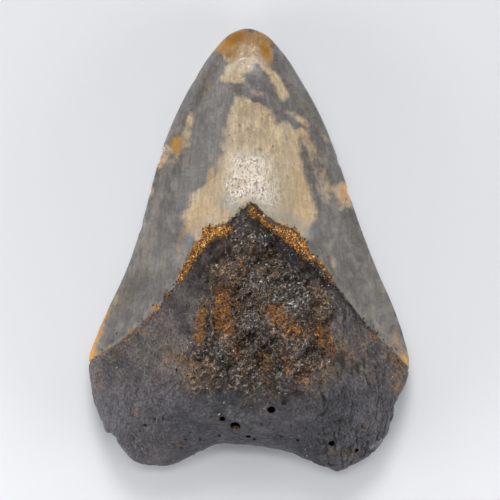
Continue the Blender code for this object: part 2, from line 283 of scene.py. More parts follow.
top_faces = np.stack([fine[:-1, :-1], fine[1:, :-1], fine[1:, 1:], fine[:-1, 1:]], axis=-1).reshape(-1, 4)
between = np.full((4, COLUMNS // 2, ROWS // 2), -1)  # the extra corner on each side of a coarse quad, if any
between[0, 0, :] = fine[0, 1::2]
between[1, :, -1] = fine[1::2, -1]
between[2, -1, :] = fine[-1, 1::2]
between[3, :, 0] = fine[1::2, 0]
quads = (coarse[:-1, :-1], coarse[:-1, 1:], coarse[1:, 1:], coarse[1:, :-1])
bottom_faces = np.stack([array for pair in zip(quads, between) for array in pair], axis=-1).reshape(-1, 8)


# %% Arrays into a mesh
def mesh_from_arrays(name, vertices, *face_tables):
    """A mesh from one row of corners a face. A corner of -1 is left out, so a row can hold any count."""
    flat = np.concatenate([table.ravel() for table in face_tables])
    counts = np.concatenate([(table >= 0).sum(1) for table in face_tables])
    flat = flat[flat >= 0]
    mesh = bpy.data.meshes.new(name)
    mesh.vertices.add(len(vertices))
    mesh.vertices.foreach_set("co", np.ascontiguousarray(vertices, np.float32).ravel())
    mesh.loops.add(len(flat))
    mesh.loops.foreach_set("vertex_index", flat.astype(np.int32))
    mesh.polygons.add(len(counts))
    mesh.polygons.foreach_set("loop_start", (np.cumsum(counts) - counts).astype(np.int32))
    mesh.update(calc_edges=True)
    mesh.validate()
    return mesh


def new_object(name, mesh):
    """An object at the origin, unturned and unscaled, that shows the mesh."""
    made = bpy.data.objects.new(name, mesh)
    bpy.context.scene.collection.objects.link(made)
    return made


def read(mesh_items, what, width):
    """One array row an item of the mesh."""
    values = np.empty(len(mesh_items) * width, np.float32)
    mesh_items.foreach_get(what, values)
    return values.reshape(-1, width).astype(float)


skin = mesh_from_arrays("fossil_tooth", points * MM, top_faces, bottom_faces)
print("closed skin:", len(skin.vertices), "points,", len(skin.polygons), "faces")

# %% [markdown]
# ## A flat map of the skin
# A game or a viewer that can't run the material needs it drawn on a picture, and a picture needs a flat map of
# the skin. The grid already is one: a point's column and row are its place on the map. The domed face gets the
# larger part of the map's width, the outer face the rest, and a strip above them is kept for the cut surfaces.

# %% The map's places
MAP_NAME = "OFBake"
MAP_LEFT, MAP_BASE, MAP_HEIGHT = 0.006, 0.006, 0.928
DOMED_MAP_WIDTH, OUTER_MAP_WIDTH, MAP_GAP = 0.6, 0.372, 0.012
STRIP_BASE, STRIP_HEIGHT = 0.95, 0.044


def write_map(mesh, places_on_map):
    """One (across, up) pair a corner, under the map's name."""
    mesh.uv_layers.new(name=MAP_NAME).data.foreach_set("uv", places_on_map.astype(np.float32).ravel())


shares = np.stack(np.meshgrid(*(np.linspace(0, 1, count + 1) for count in (COLUMNS, ROWS)), indexing="ij"), axis=-1)
shares = np.concatenate([shares.reshape(-1, 2), shares[2:-2:2, 2:-2:2].reshape(-1, 2)])
corner_points = np.empty(len(skin.loops), np.int32)
skin.loops.foreach_get("vertex_index", corner_points)
is_domed = np.arange(len(corner_points)) < top_faces.size
across = MAP_LEFT + np.where(
    is_domed,
    DOMED_MAP_WIDTH * shares[corner_points, 0],
    DOMED_MAP_WIDTH + MAP_GAP + OUTER_MAP_WIDTH * (1 - shares[corner_points, 0]),
)
write_map(skin, np.stack([across, MAP_BASE + MAP_HEIGHT * shares[corner_points, 1]], axis=-1))

# %% [markdown]
# ## Relief
# The root's look comes from its surface: a rough core where the smooth outer layer wore off, fibres that run
# down both flanks, soft hills, and a groove where the enamel ends. Carving this by hand would take long, so
# each kind of relief is a field, a number at every point, and the skin moves along its normals by their sum.
# Random hills come from a lattice of random numbers, blended smoothly between lattice points.

# %% Random hills and pebbles
TABLE_SIDE = 32


def hills(at, size, seed):
    """Smooth hills from -1 to 1: the eight lattice values round a point, each weighted by its nearness."""
    table = np.random.default_rng(seed).uniform(-1, 1, (TABLE_SIDE,) * 3)
    place = at / size
    cell = np.floor(place).astype(int)
    t = smoothstep(place - cell)
    total = np.zeros(len(at))
    for corner in np.ndindex(2, 2, 2):
        near = np.prod(np.where(corner, t, 1 - t), axis=1)
        total += near * table[tuple(((cell + corner) % TABLE_SIDE).T)]
    return total


def layered(at, size, seed, layers=3):
    """Hills, and on them hills of half the size and half the height, and so on."""
    return sum(hills(at, size / 2**layer, seed + layer) / 2**layer for layer in range(layers))


def pebbles(at, size, seed):
    """Rounded grains: 1 minus the squared distance to the nearest of the lattice's shaken points."""
    shake = np.random.default_rng(seed).uniform(0, 1, (TABLE_SIDE, TABLE_SIDE, TABLE_SIDE, 3))
    place = at / size
    cell = np.floor(place).astype(int)
    nearest = np.full(len(at), 9.0)
    for step in np.ndindex(3, 3, 3):
        other = cell + step - 1
        centre = other + shake[tuple((other % TABLE_SIDE).T)]
        nearest = np.minimum(nearest, ((place - centre) ** 2).sum(1))
    return 1 - np.minimum(nearest, 1)


# %% Where things are: face, enamel line, worn core, flanks
FACE_BLEND = 1.2  # mm of height over which the domed face's fields give way to the outer face's
LINE_STEPS = 240


def facing(at):
    """1 on the domed face, 0 on the outer face, and a short blend between them at the rim."""
    return smoothstep((at[:, 2] - through(RIM_HEIGHT, at[:, 1])) / FACE_BLEND + 0.5)


def past_line(at, line):
    """Distance in mm to the line where the enamel ends, positive on the root's side."""
    x = np.linspace(line[0][0], line[-1][0], LINE_STEPS + 1)
    y = through(line, x)
    nearest = np.full(len(at), np.inf)
    for index in range(LINE_STEPS):
        start = np.array([x[index], y[index]])
        run = np.array([x[index + 1], y[index + 1]]) - start
        apart = at[:, :2] - start
        share = np.clip(apart @ run / (run @ run), 0, 1)
        nearest = np.minimum(nearest, ((apart - share[:, None] * run) ** 2).sum(1))
    side = np.where(at[:, 1] < through(line, at[:, 0]), 1.0, -1.0)
    return side * np.sqrt(nearest)


def past_enamel(at):
    """The distance past the enamel's end, on whichever face the point is."""
    face = facing(at)
    return face * past_line(at, DOMED_FACE_LINE) + (1 - face) * past_line(at, OUTER_FACE_LINE)


def capsules(at, table, soft):
    """Strength of rows of (x, y, x, y, radius, most): `most` inside each capsule, gone `soft` mm further out."""
    strength = np.zeros(len(at))
    for x0, y0, x1, y1, radius, most in table:
        start, run = np.array([x0, y0]), np.array([x1 - x0, y1 - y0])
        share = np.clip((at[:, :2] - start) @ run / max(run @ run, 1e-9), 0, 1)
        away = np.linalg.norm(at[:, :2] - start - share[:, None] * run, axis=1)
        strength = np.maximum(strength, most * np.clip(0.5 + (radius - away) / soft, 0, 1))
    return strength


# %% The fields of the relief
WORN_CORE = [  # the rough middle of the root, as capsules in mm
    (-2.0, 2.0, 4.0, 1.0, 5.0, 1.0),
    (-3.0, -6.0, 9.0, -6.0, 8.0, 1.0),
    (-4.0, -16.0, 14.0, -15.0, 7.5, 1.0),
    (-9.0, -26.0, 15.0, -25.0, 6.5, 0.9),
    (-12.0, -31.0, 13.0, -31.0, 4.5, 0.6),
    (-2.0, -35.0, 12.0, -34.0, 3.5, 0.5),
]
CORE_SOFT = 6.0
MARKS = [  # ridges, and hollows under 0: x, y, x, y, radius, height in mm
    (-8.9, -7.0, -8.9, -19.4, 0.5, 0.5), (-10.2, -5.6, -10.2, -10.8, 0.5, -0.45), (-10.1, -14.0, -10.2, -19.0, 0.4, -0.45),
    (8.8, -14.6, 13.6, -12.2, 0.5, 0.7), (11.2, -10.8, 14.4, -11.2, 0.7, -0.7), (5.6, -8.2, 9.0, -7.4, 0.8, -0.6),
    (6.8, -13.2, 9.6, -10.6, 0.5, 0.5), (5.0, -9.8, 6.6, -8.4, 0.35, 0.45), (0.2, -8.8, 2.2, -9.4, 0.35, 0.4),
    (-1.8, -15.4, 1.4, -16.2, 0.45, 0.4), (-1.6, -18.2, 0.0, -19.4, 0.45, 0.4), (1.4, -15.0, 3.0, -10.4, 0.6, -0.3),
    (-4.8, -14.0, -3.6, -15.4, 0.4, 0.35), (3.4, -4.6, 7.8, -5.6, 0.5, 0.3), (-0.4, -4.6, 2.6, -3.6, 0.4, 0.35),
    (7.6, -35.2, 9.8, -34.8, 1.5, -0.35), (-28.9, -29.5, -29.5, -34.0, 0.7, -0.35), (-31.6, -31.0, -32.4, -33.0, 1.2, 0.3),
    (-24.0, -42.0, -21.0, -42.4, 0.5, -0.3), (-26.6, -43.6, -25.6, -44.0, 0.5, -0.3),
    (-17.0, -47.8, -15.8, -48.4, 0.5, -0.3), (-28.6, -38.4, -28.0, -40.4, 0.4, -0.3),
    (20.5, -44.0, 21.0, -47.0, 0.5, -0.3), (-20.4, -36.8, -20.8, -38.0, 0.4, -0.3),
    (-12.0, -20.0, -20.0, -30.0, 2.0, 0.25), (-24.0, -24.0, -26.5, -33.0, 1.6, -0.3), (-33.0, -37.0, -28.0, -46.0, 2.0, 0.3),
    (13.0, -38.0, 26.0, -43.0, 1.6, 0.3), (27.0, -33.0, 33.5, -40.0, 1.6, -0.25),
]
NICKS = [  # bites out of the outline: x, y, x, y, radius, depth
    (-34.6, -46.6, -33.4, -46.9, 0.9, -0.75), (-36.4, -43.6, -36.6, -43.2, 0.5, -0.3),
    (34.9, -44.0, 35.3, -43.4, 0.4, -0.2), (36.2, -39.2, 36.6, -38.6, 0.6, -0.35), (33.4, -47.4, 33.8, -46.9, 0.4, -0.2),
    (-26.9, 5.0, -26.7, 5.8, 0.45, -0.35), (22.6, 21.4, 22.4, 22.2, 0.4, -0.25), (-13.6, 42.0, -13.2, 42.8, 0.35, -0.2),
]
CROWN_BULGE = (1.0, 0.3, 25.0, 18.0, 10.0)  # height, centre across and along, spread across and along
TIP_CREST = [(-4.6, 44.9, -2.2, 47.2, 0, 1), (-2.2, 47.2, 0.9, 47.7, 0, 1), (0.9, 47.7, 4.2, 45.2, 0, 1)]
STREAK_ANGLE = math.radians(38)  # the core's ridges lean this far from +X towards +Y


def rough_core(at):
    """The core's grit, lumps and leaning ridges, in mm. It is read in plan, so colour can follow it."""
    flat = at * (1, 1, 0)
    along_streak = at[:, 0] * math.cos(STREAK_ANGLE) + at[:, 1] * math.sin(STREAK_ANGLE)
    across_streak = at[:, 1] * math.cos(STREAK_ANGLE) - at[:, 0] * math.sin(STREAK_ANGLE)
    streaks = layered(np.stack([0.35 * along_streak, across_streak, 0 * across_streak], axis=1), 1.5, 44, layers=2)
    return 0.38 * (pebbles(flat, 1.1, 41) - 0.6) + 0.16 * layered(flat, 2.6, 42, layers=4) + 0.26 * streaks


def fibre_grooves(at):
    """1 in the wavy furrows that run down the flanks, 0 between them: where slanted hills pass through zero."""
    wavy = at + 1.3 * np.stack([hills(at, 9.0, 23), np.zeros(len(at)), hills(at, 7.0, 24)], axis=1)
    furrow = np.exp(-((layered(wavy * (1, 0.1, 1), 2.0, 25, layers=2) / 0.13) ** 2))
    flank = smoothstep((np.abs(at[:, 0]) - 12) / 7) * (0.25 + 0.75 * smoothstep(at[:, 0] / 8))
    return furrow * flank


def flank_grain(at):
    """The fine lumps of the flanks, in mm."""
    return 0.1 * (pebbles(at, 0.9, 43) - 0.6) + 0.12 * layered(at, 2.2, 45)


def relief(at):
    """Millimetres to move outwards along the normal, as the sum of every kind of relief."""
    face = facing(at)
    past = past_enamel(at) + 0.35 * hills(at, 1.6, 21)
    root = smoothstep(past / 0.7)
    core = capsules(at, WORN_CORE, CORE_SOFT) * face * root
    core = smoothstep(core * (1 + 0.5 * layered(at, 4.0, 22)))
    out = 0.28 * layered(at, 7.5, 31) * root
    out -= 0.32 * fibre_grooves(at) * root * (1 - core)
    out += core * (0.1 + rough_core(at))
    out += flank_grain(at) * root * (1 - core)
    out += sum(capsules(at, [(*row[:5], 1.0)], 1.1) * row[5] for row in MARKS) * face * root
    out += sum(capsules(at, [(*row[:5], 1.0)], 0.9) * row[5] for row in NICKS)
    out -= 0.30 * np.exp(-(((past - 0.5) / 0.45) ** 2)) * smoothstep(past + 0.5)
    out += 0.05 * layered(at * (1, 0.45, 1), 9.0, 51, layers=2) * (1 - root)
    out += mound(at, *CROWN_BULGE) * face
    out += 0.3 * capsules(at, TIP_CREST, 3.4) ** 2 * face
    return out


at = read(skin.vertices, "co", 3) / MM
normals = read(skin.vertices, "normal", 3)
moved = at + relief(at)[:, None] * normals
moved[:, 2] = np.maximum(moved[:, 2], 0)
skin.vertices.foreach_set("co", (moved * MM).astype(np.float32).ravel())
skin.update()
print("relief, mm:", round(float(relief(at).min()), 2), "to", round(float(relief(at).max()), 2))

# %% [markdown]
# ## Chips and holes
# Shell-shaped chips were knocked out of both cutting edges, and blood vessels left round holes near the root's
# arch. A height can't make an undercut or a crisp lip, so these are cut with a Boolean by stretched balls. A ball
# is a surface of two angles, and a hole is a ball squeezed to the hole's width and depth.

# %% Balls
CUTTER_RINGS, CUTTER_SIDES = 16, 28


def ball(rings, sides):
    """A ball of radius 1: (sin a cos b, sin a sin b, cos a), closed by one point at each pole."""
    a = np.linspace(0, np.pi, rings + 1)[1:-1, None]
    b = np.linspace(0, 2 * np.pi, sides, endpoint=False)[None, :]
    body = np.stack([np.sin(a) * np.cos(b), np.sin(a) * np.sin(b), np.cos(a) + 0 * b], axis=-1)
    vertices = np.concatenate([body.reshape(-1, 3), [[0, 0, 1], [0, 0, -1]]])
    index = np.arange((rings - 1) * sides).reshape(rings - 1, sides)
    turn = np.roll(index, -1, axis=1)
    bands = np.stack([index[:-1], index[1:], turn[1:], turn[:-1]], axis=-1).reshape(-1, 4)
    top_pole, bottom_pole = (np.full(sides, index.size + end) for end in (0, 1))
    caps = [
        np.stack([top_pole, index[0], turn[0], np.full(sides, -1)], axis=-1),
        np.stack([bottom_pole, turn[-1], index[-1], np.full(sides, -1)], axis=-1),
    ]
    return vertices, np.concatenate([bands, *caps])


# %% The cutters' places and sizes, in mm
CHIPS = [  # along, side (-1 left, 1 right), ball radius, outside the edge, above it, how stained
    (14.8, 1, 4.5, 1.7, 3.75, 1.0),
    (13.3, 1, 2.8, 1.0, 2.35, 1.0),
    (24.3, -1, 2.7, 0.9, 2.1, 0.6),
    (22.5, -1, 2.3, 0.9, 1.7, 1.0),
    (14.6, -1, 1.7, 1.0, 1.1, 0.3),
]
HOLES = [  # across, along, radius, depth
    (-3.4, -43.6, 1.2, 2.0), (5.3, -39.5, 0.95, 1.6), (-6.6, -41.8, 0.65, 0.9),
    (-0.2, -46.4, 0.6, 0.9), (20.4, -48.0, 0.75, 1.1), (26.6, -49.9, 0.55, 0.9),
]


def edge_at(along, side):
    """Where the cutting edge is, at this height along the tooth."""
    share = np.linspace(0, 1, SEARCH_STEPS + 1)
    points = outline(0, share) if side < 0 else outline(2, share, backwards=True)
    return np.array([np.interp(along, points[:, 1], points[:, 0]), along, float(through(RIM_HEIGHT, along))])


def surface_under(across, along):
    """The point of the skin nearest to this place in plan, and its normal, on the domed face."""
    apart = np.hypot(moved[: fine.size, 0] - across, moved[: fine.size, 1] - along)
    nearest = np.argmin(apart)
    return moved[nearest], normals[nearest]


def axes_along(normal):
    """Three perpendicular directions, the last one along the normal."""
    first = np.cross((0, 1, 0), normal)
    first = first / np.linalg.norm(first)
    return np.stack([first, np.cross(normal, first), normal])


ball_points, ball_faces = ball(CUTTER_RINGS, CUTTER_SIDES)
chip_centres = np.array([edge_at(along, side) + (side * out, 0, up) for along, side, _, out, up, _ in CHIPS])
cutter_points = [centre + row[2] * ball_points for centre, row in zip(chip_centres, CHIPS)]
hole_places, hole_normals = [], []
for across, along, radius, depth in HOLES:
    place, normal = surface_under(across, along)
    hole_places.append(place)
    hole_normals.append(normal)
    cutter_points.append(place + (ball_points * (radius, radius, depth)) @ axes_along(normal))


def cutter_of(chosen):
    """One mesh of the chosen balls. Each ball has its own place on the map's strip."""
    steps = np.arange(len(chosen))[:, None, None] * len(ball_points)
    faces = np.where(ball_faces >= 0, ball_faces + steps, -1).reshape(-1, 4)
    mesh = mesh_from_arrays("cutter", np.concatenate([cutter_points[index] for index in chosen]) * MM, faces)
    corner_points = np.empty(len(mesh.loops), np.int32)
    mesh.loops.foreach_get("vertex_index", corner_points)
    which, ball_point = np.divmod(corner_points, len(ball_points))
    seen_flat = (ball_points[ball_point, :2] + 1) / 2
    strip = np.stack([np.array(chosen)[which] + 0.03 + 0.9 * seen_flat[:, 0], seen_flat[:, 1]], axis=-1)
    write_map(mesh, strip * (1 / len(cutter_points), STRIP_HEIGHT) + (0, STRIP_BASE))
    return new_object("cutter", mesh)


print(len(CHIPS), "chips and", len(HOLES), "holes to cut")

# %% Cut, and keep the result as a plain mesh
tooth = new_object("fossil_tooth", skin)
cutters = [cutter_of(range(start, len(cutter_points), 2)) for start in (0, 1)]  # neighbours overlap, so two cuts
for cutter in cutters:
    cut = tooth.modifiers.new("cut", "BOOLEAN")
    cut.operation = "DIFFERENCE"
    cut.object = cutter
evaluated = tooth.evaluated_get(bpy.context.evaluated_depsgraph_get())
skin = bpy.data.meshes.new_from_object(evaluated)
tooth.modifiers.clear()
tooth.data = skin
for cutter in cutters:
    bpy.data.objects.remove(cutter)
skin.shade_smooth()
skin.set_sharp_from_angle(angle=math.radians(55))
skin.calc_loop_triangles()
print("cut skin:", len(skin.vertices), "points,", len(skin.loop_triangles), "triangles")

# %% [markdown]
# ## Stains as fields
# The enamel is grey where minerals soaked it and tan where they didn't, with ochre spots, and rust sits along the
# enamel's end. A picture could hold this, but fields on the points are sharper to steer: the edges of the tan
# patch are two curves read along the tooth, and the spots are capsules. The material later frays their edges.

# %% The tan patch between its two edges, in mm: (along, across)
TAN_LEFT_EDGE = [
    (2.2, -13.0), (4.8, -14.8), (7.2, -15.7), (9.8, -15.3), (12.2, -14.7), (14.8, -13.0), (16.0, -11.2),
    (17.2, -9.5), (18.5, -7.3), (22.2, -6.8), (26.0, -6.3), (29.8, -5.8), (32.2, -5.3), (34.2, -4.5),
    (36.2, -4.3), (38.0, -3.2),
]
TAN_RIGHT_EDGE = [
    (2.2, 13.5), (4.8, 14.8), (7.2, 15.7), (9.8, 16.5), (12.2, 16.0), (14.8, 15.2), (18.5, 13.7),
    (22.2, 12.7), (26.0, 12.5), (28.5, 11.9), (30.5, 7.0), (32.2, 5.8), (34.2, 5.5), (35.8, 3.5),
    (36.8, -0.4), (38.0, -1.8),
]
TAN_SPOTS = [  # x, y, x, y, radius, strength
    (-2.4, 51.6, 2.2, 51.4, 3.0, 1.0), (-4.6, 48.2, 4.4, 48.6, 1.7, 1.0), (-5.2, 50.4, -3.0, 51.6, 2.0, 1.0),
    (-6.2, 42.4, -2.2, 42.5, 1.1, 1.0), (-4.6, 44.4, -0.6, 45.4, 1.6, 1.0), (-3.4, 46.2, 1.2, 46.8, 0.9, 1.0),
    (3.6, 46.2, 5.8, 43.4, 1.0, 1.0), (5.8, 43.4, 9.2, 38.2, 1.25, 1.0),
    (1.5, 38.6, 2.6, 38.6, 0.7, 0.62), (-7.4, 34.8, -7.2, 32.6, 0.6, 0.45),
    (9.6, 34.2, 11.0, 33.4, 1.0, 0.5), (12.2, 32.6, 14.6, 31.0, 1.1, 0.6), (8.8, 30.6, 11.4, 28.4, 1.6, 0.8),
    (-14.6, 33.0, -15.8, 26.0, 1.2, 0.62), (-18.4, 24.0, -18.0, 22.0, 0.8, 0.55), (-9.4, 19.5, -10.4, 15.0, 1.4, 0.5),
    (-19.4, 22.2, -18.8, 20.6, 0.6, 0.55), (-22.2, 17.2, -21.4, 15.2, 0.9, 0.45),
    (21.4, 15.2, 23.6, 12.4, 1.3, 0.6), (16.6, 31.0, 19.4, 27.0, 0.9, 0.5), (16.0, 24.0, 19.6, 13.0, 1.8, 0.42), (13.2, 29.0, 15.8, 25.0, 1.5, 0.66),
    (20.9, -2.2, 21.8, -6.6, 0.6, 0.5), (-35.8, -18.4, -33.8, -12.6, 1.4, 0.4),
]
TAN_SOFT = 3.2

# %% Iron in the enamel: ochre, and strong orange along the worn rims
OCHRE_SPOTS = [
    (-2.8, 53.4, -6.8, 50.4, 1.5, 1.0), (-2.0, 52.2, -1.4, 52.0, 0.9, 0.9), (-1.5, 52.4, 3.5, 51.4, 3.0, 0.5),
    (3.6, 50.2, 4.9, 48.2, 1.2, 0.95), (-5.0, 48.8, 1.5, 49.8, 2.0, 0.45), (5.6, 44.0, 8.8, 39.0, 0.8, 0.3), (-17.9, 27.3, -18.4, 24.6, 1.1, 0.9), (-6.9, 23.0, -6.8, 18.8, 0.4, 0.6),
    (-9.8, 20.0, -10.2, 14.0, 1.4, 0.4), (-25.0, 5.9, -24.4, 3.7, 0.8, 0.4), (-15.3, 5.4, -17.0, 2.4, 0.5, 0.75),
    (-17.5, 1.2, -17.2, -1.4, 0.5, 0.8), (-6.6, 10.9, -6.2, 9.2, 0.5, 0.6), (-4.3, 15.2, -1.7, 16.2, 0.5, 0.8),
    (-6.1, 17.3, -6.0, 17.2, 0.4, 0.6), (-30.9, -11.6, -29.6, -11.0, 0.9, 0.3), (-19.8, -1.4, -19.7, -1.6, 0.4, 0.6),
    (5.6, 9.4, 13.0, 11.0, 1.0, 0.2), (12.2, 17.0, 11.4, 26.0, 0.7, 0.15), (-13.0, 9.0, -8.5, 11.0, 1.2, 0.3),
    (22.4, 13.6, 23.2, 12.0, 0.7, 0.4),
]
RIM_ORANGE = [
    (-35.4, -14.6, -37.6, -19.6, 0.9, 0.9), (-37.6, -19.6, -39.2, -23.6, 1.2, 0.95), (-39.2, -23.6, -39.6, -27.2, 1.2, 1.0),
    (-36.4, -17.6, -37.6, -19.6, 0.5, 0.6),
    (36.6, -22.4, 38.2, -27.0, 1.2, 0.42), (38.6, -26.4, 39.7, -30.2, 0.9, 0.8), (37.2, -29.0, 38.8, -30.6, 0.8, 0.6),
    (36.4, -20.4, 37.6, -24.0, 0.6, 0.4),
]
STAIN_SOFT = 2.2
BROWN_FILM = [  # a thin brown film that dulls the enamel
    (-3.6, 52.8, 4.0, 52.6, 2.8, 0.85), (-5.4, 48.5, 4.4, 49.4, 1.2, 0.85), (-3.8, 49.4, -0.8, 49.9, 1.0, 0.9), (-35.6, -18.0, -27.0, -6.0, 3.0, 0.4),
    (-30.0, -6.0, -22.0, 3.0, 2.0, 0.2), (-9.4, 45.4, -12.6, 38.6, 1.4, 0.55), (26.8, 3.0, 33.6, -13.0, 1.0, 0.3),
    (-35.0, -17.6, -31.0, -9.6, 2.0, 0.35), (-22.0, 25.0, -21.4, 20.0, 1.0, 0.25), (20.0, 20.0, 27.0, 2.0, 1.4, 0.3),
    (14.0, 36.0, 18.0, 28.0, 0.9, 0.3), (-14.0, 8.0, -12.0, 2.4, 1.0, 0.35),
    (-17.0, 36.0, -19.0, 31.0, 0.8, 0.3), (11.0, 12.0, 12.4, 24.0, 0.9, 0.25), (-27.0, -2.0, -24.0, 4.0, 0.9, 0.3),
]
SHADED_ZONES = [  # darker enamel, mostly along the edges
    (11.4, 44.4, 20.4, 27.0, 1.3, 0.8), (10.4, 44.6, 13.4, 39.4, 1.2, 0.7), (8.6, 46.2, 11.4, 41.4, 0.9, 0.8), (19.2, 28.8, 20.9, 25.2, 1.2, 0.9), (-7.6, 48.4, -13.4, 39.6, 1.5, 0.7), (24.2, 9.4, 25.4, 4.6, 1.3, 1.0), (27.2, 2.0, 30.4, -6.0, 1.2, 0.6), (-21.0, -4.0, -25.6, -11.0, 2.2, 0.5),
    (26.8, 3.0, 33.6, -13.0, 1.0, 0.4), (-6.0, 36.4, -7.4, 27.0, 1.0, 0.3), (-5.4, 11.4, -2.6, 9.4, 1.3, 0.75), (-8.4, 18.6, -7.2, 12.5, 1.1, 0.35), (21.4, 24.4, 23.0, 18.4, 0.9, 0.6),
]
SCRATCHES = [  # pale and thin
    (-20.7, 25.8, -19.9, 25.2, 0.14, 0.9), (-19.9, 25.2, -19.2, 24.2, 0.16, 1.0), (-20.9, 25.0, -20.3, 24.5, 0.1, 0.7),
    (22.7, 9.9, 23.9, 10.8, 0.2, 0.8), (24.4, 10.8, 25.8, 10.7, 0.2, 0.8), (23.4, 16.6, 21.8, 15.6, 0.14, 0.6),
    (9.2, -15.0, 13.8, -12.8, 0.2, 0.55), (9.6, -13.9, 13.4, -12.0, 0.16, 0.45), (0.2, -8.8, 2.1, -9.4, 0.12, 0.4),
    (5.2, -9.6, 6.5, -8.5, 0.12, 0.4), (7.2, -12.9, 9.4, -10.9, 0.14, 0.4), (-1.7, -15.5, 1.3, -16.2, 0.12, 0.35),
    (-1.5, -18.3, 0.0, -19.4, 0.1, 0.35), (3.6, -7.2, 5.2, -6.4, 0.1, 0.35),
    (-19.7, -18.6, -15.5, -18.3, 0.05, 0.3), (16.5, -10.0, 17.3, -7.2, 0.05, 0.4), (11.5, -9.6, 14.0, -9.6, 0.05, 0.35),
    (-16.0, -21.0, -14.8, -23.4, 0.08, 0.4), (22.6, 26.0, 23.4, 22.0, 0.1, 0.3), (-24.4, 15.4, -24.8, 14.2, 0.12, 0.6),
]
# Small pores, painted near black as their shade.
PORES = [  # small and black
    (3.0, -43.0, 3.1, -43.2, 0.24, 1), (1.2, -47.0, 1.4, -47.2, 0.3, 1), (11.8, -47.2, 12.2, -47.3, 0.3, 0.9),
    (-15.8, -47.0, -15.6, -47.2, 0.3, 0.8), (-23.3, -41.8, -23.0, -41.9, 0.28, 0.9), (-25.8, -43.4, -25.4, -43.5, 0.3, 0.9),
    (-21.2, -41.6, -21.1, -41.9, 0.26, 0.9), (-14.6, -45.2, -14.5, -45.4, 0.24, 0.8), (-12.2, -47.0, -12.1, -47.2, 0.26, 0.9),
    (-17.0, -49.2, -16.8, -49.2, 0.26, 0.8), (-7.4, -46.2, -7.2, -46.3, 0.3, 0.9), (6.0, -44.5, 6.1, -44.6, 0.2, 0.8),
    (10.4, -43.4, 10.4, -43.6, 0.22, 0.8), (14.0, -44.2, 14.1, -44.3, 0.24, 0.8), (17.2, -45.6, 17.3, -45.6, 0.2, 0.8),
    (8.0, -46.4, 8.2, -46.4, 0.24, 0.9), (23.6, -46.2, 23.6, -46.4, 0.22, 0.8), (29.4, -46.0, 29.5, -46.1, 0.24, 0.8),
    (12.6, -40.6, 12.7, -40.7, 0.2, 0.7), (16.4, -38.8, 16.4, -39.0, 0.2, 0.7), (-9.4, -41.2, -9.2, -41.2, 0.24, 0.8),
    (19.6, -41.6, 19.6, -41.8, 0.2, 0.7), (-27.0, -45.0, -26.8, -45.1, 0.24, 0.8), (-18.8, -48.2, -18.6, -48.3, 0.24, 0.8),
    (8.4, -37.8, 8.8, -37.8, 0.6, 0.6), (-27.6, -21.4, -27.5, -21.5, 0.26, 0.9), (22.0, -36.0, 22.0, -36.8, 0.2, 0.6),
]
UMBER_ZONES = [  # brown earth held in the root's grain
    (-20.0, -25.6, -14.0, -28.6, 1.8, 0.8), (-23.2, -30.6, -22.6, -31.8, 0.9, 0.6), (-14.0, -28.0, -12.0, -29.6, 1.4, 0.9),
    (-12.0, -32.0, -6.0, -30.0, 1.6, 0.5), (16.0, -26.0, 20.0, -30.0, 1.6, 0.7), (22.0, -22.0, 25.0, -27.0, 1.4, 0.7), (27.0, -20.0, 31.0, -31.0, 2.4, 0.34),
    (-26.0, -19.6, -34.0, -26.0, 0.9, 0.6), (28.0, -44.0, 33.0, -38.0, 1.0, 0.4), (-38.0, -30.0, -37.6, -34.0, 0.9, 0.7),
    (20.0, -50.0, 25.0, -50.4, 0.8, 0.7), (-18.0, -48.0, -17.0, -48.4, 0.7, 0.5), (-9.4, -41.4, -9.2, -41.8, 0.4, 0.9),
    (37.4, -31.0, 36.8, -35.4, 1.6, 0.9), (35.0, -26.0, 38.0, -30.0, 1.4, 0.7), (0.0, -33.0, 8.0, -31.0, 1.4, 0.4), (-26.4, -50.2, -21.0, -51.0, 1.2, 0.4),
]
# Fine dark cracks; the last row is a painted shadow along the edge of the right chip.
CRACKS_AND_CHIP_SHADOW = [  # fine dark cracks
    (1.7, 24.6, 1.9, 17.6, 0.16, 0.55), (2.0, 17.2, 1.7, 12.4, 0.18, 0.7), (-1.0, 49.6, -1.1, 46.0, 0.14, 0.6),
    (-5.6, 14.4, -5.4, 9.6, 0.12, 0.45), (3.2, 26.0, 3.0, 23.0, 0.12, 0.4), (-0.6, 36.0, -0.8, 30.0, 0.12, 0.35),
    (4.4, 35.0, 4.2, 28.6, 0.12, 0.35), (6.8, 25.0, 7.0, 18.0, 0.12, 0.35), (-19.6, 17.6, -20.8, 12.6, 0.12, 0.3),
    (2.8, 24.9, 2.9, 24.6, 0.35, 0.8), (-5.0, 17.9, -5.0, 17.6, 0.3, 0.8), (5.8, 24.1, 6.0, 23.9, 0.28, 0.7),
    (-21.0, 25.0, -20.5, 23.8, 0.35, 0.9), (-22.0, 21.8, -20.9, 21.0, 0.25, 0.9), (23.7, 14.4, 24.3, 12.2, 0.25, 0.9),
]


def wandering(at, amount, size, seed):
    """Places moved sideways by random hills, so that what is drawn with them gets a natural outline."""
    aside = np.stack([layered(at, size, seed), layered(at, size, seed + 10), np.zeros(len(at))], axis=1)
    return at + amount * aside


def tan_amount(at):
    """1 inside the tan patch or a tan spot, 0 outside, through 0.5 at the edge."""
    along = at[:, 1]
    left, right = through(TAN_LEFT_EDGE, along), through(TAN_RIGHT_EDGE, along)
    inside = np.minimum(at[:, 0] - left, right - at[:, 0])
    ends = np.minimum(along - TAN_LEFT_EDGE[0][0] + 3, TAN_LEFT_EDGE[-1][0] - along)
    patch_share = np.clip(0.5 + np.minimum(inside, ends) / TAN_SOFT, 0, 1)
    return np.maximum(patch_share, capsules(at, TAN_SPOTS, TAN_SOFT / 2))


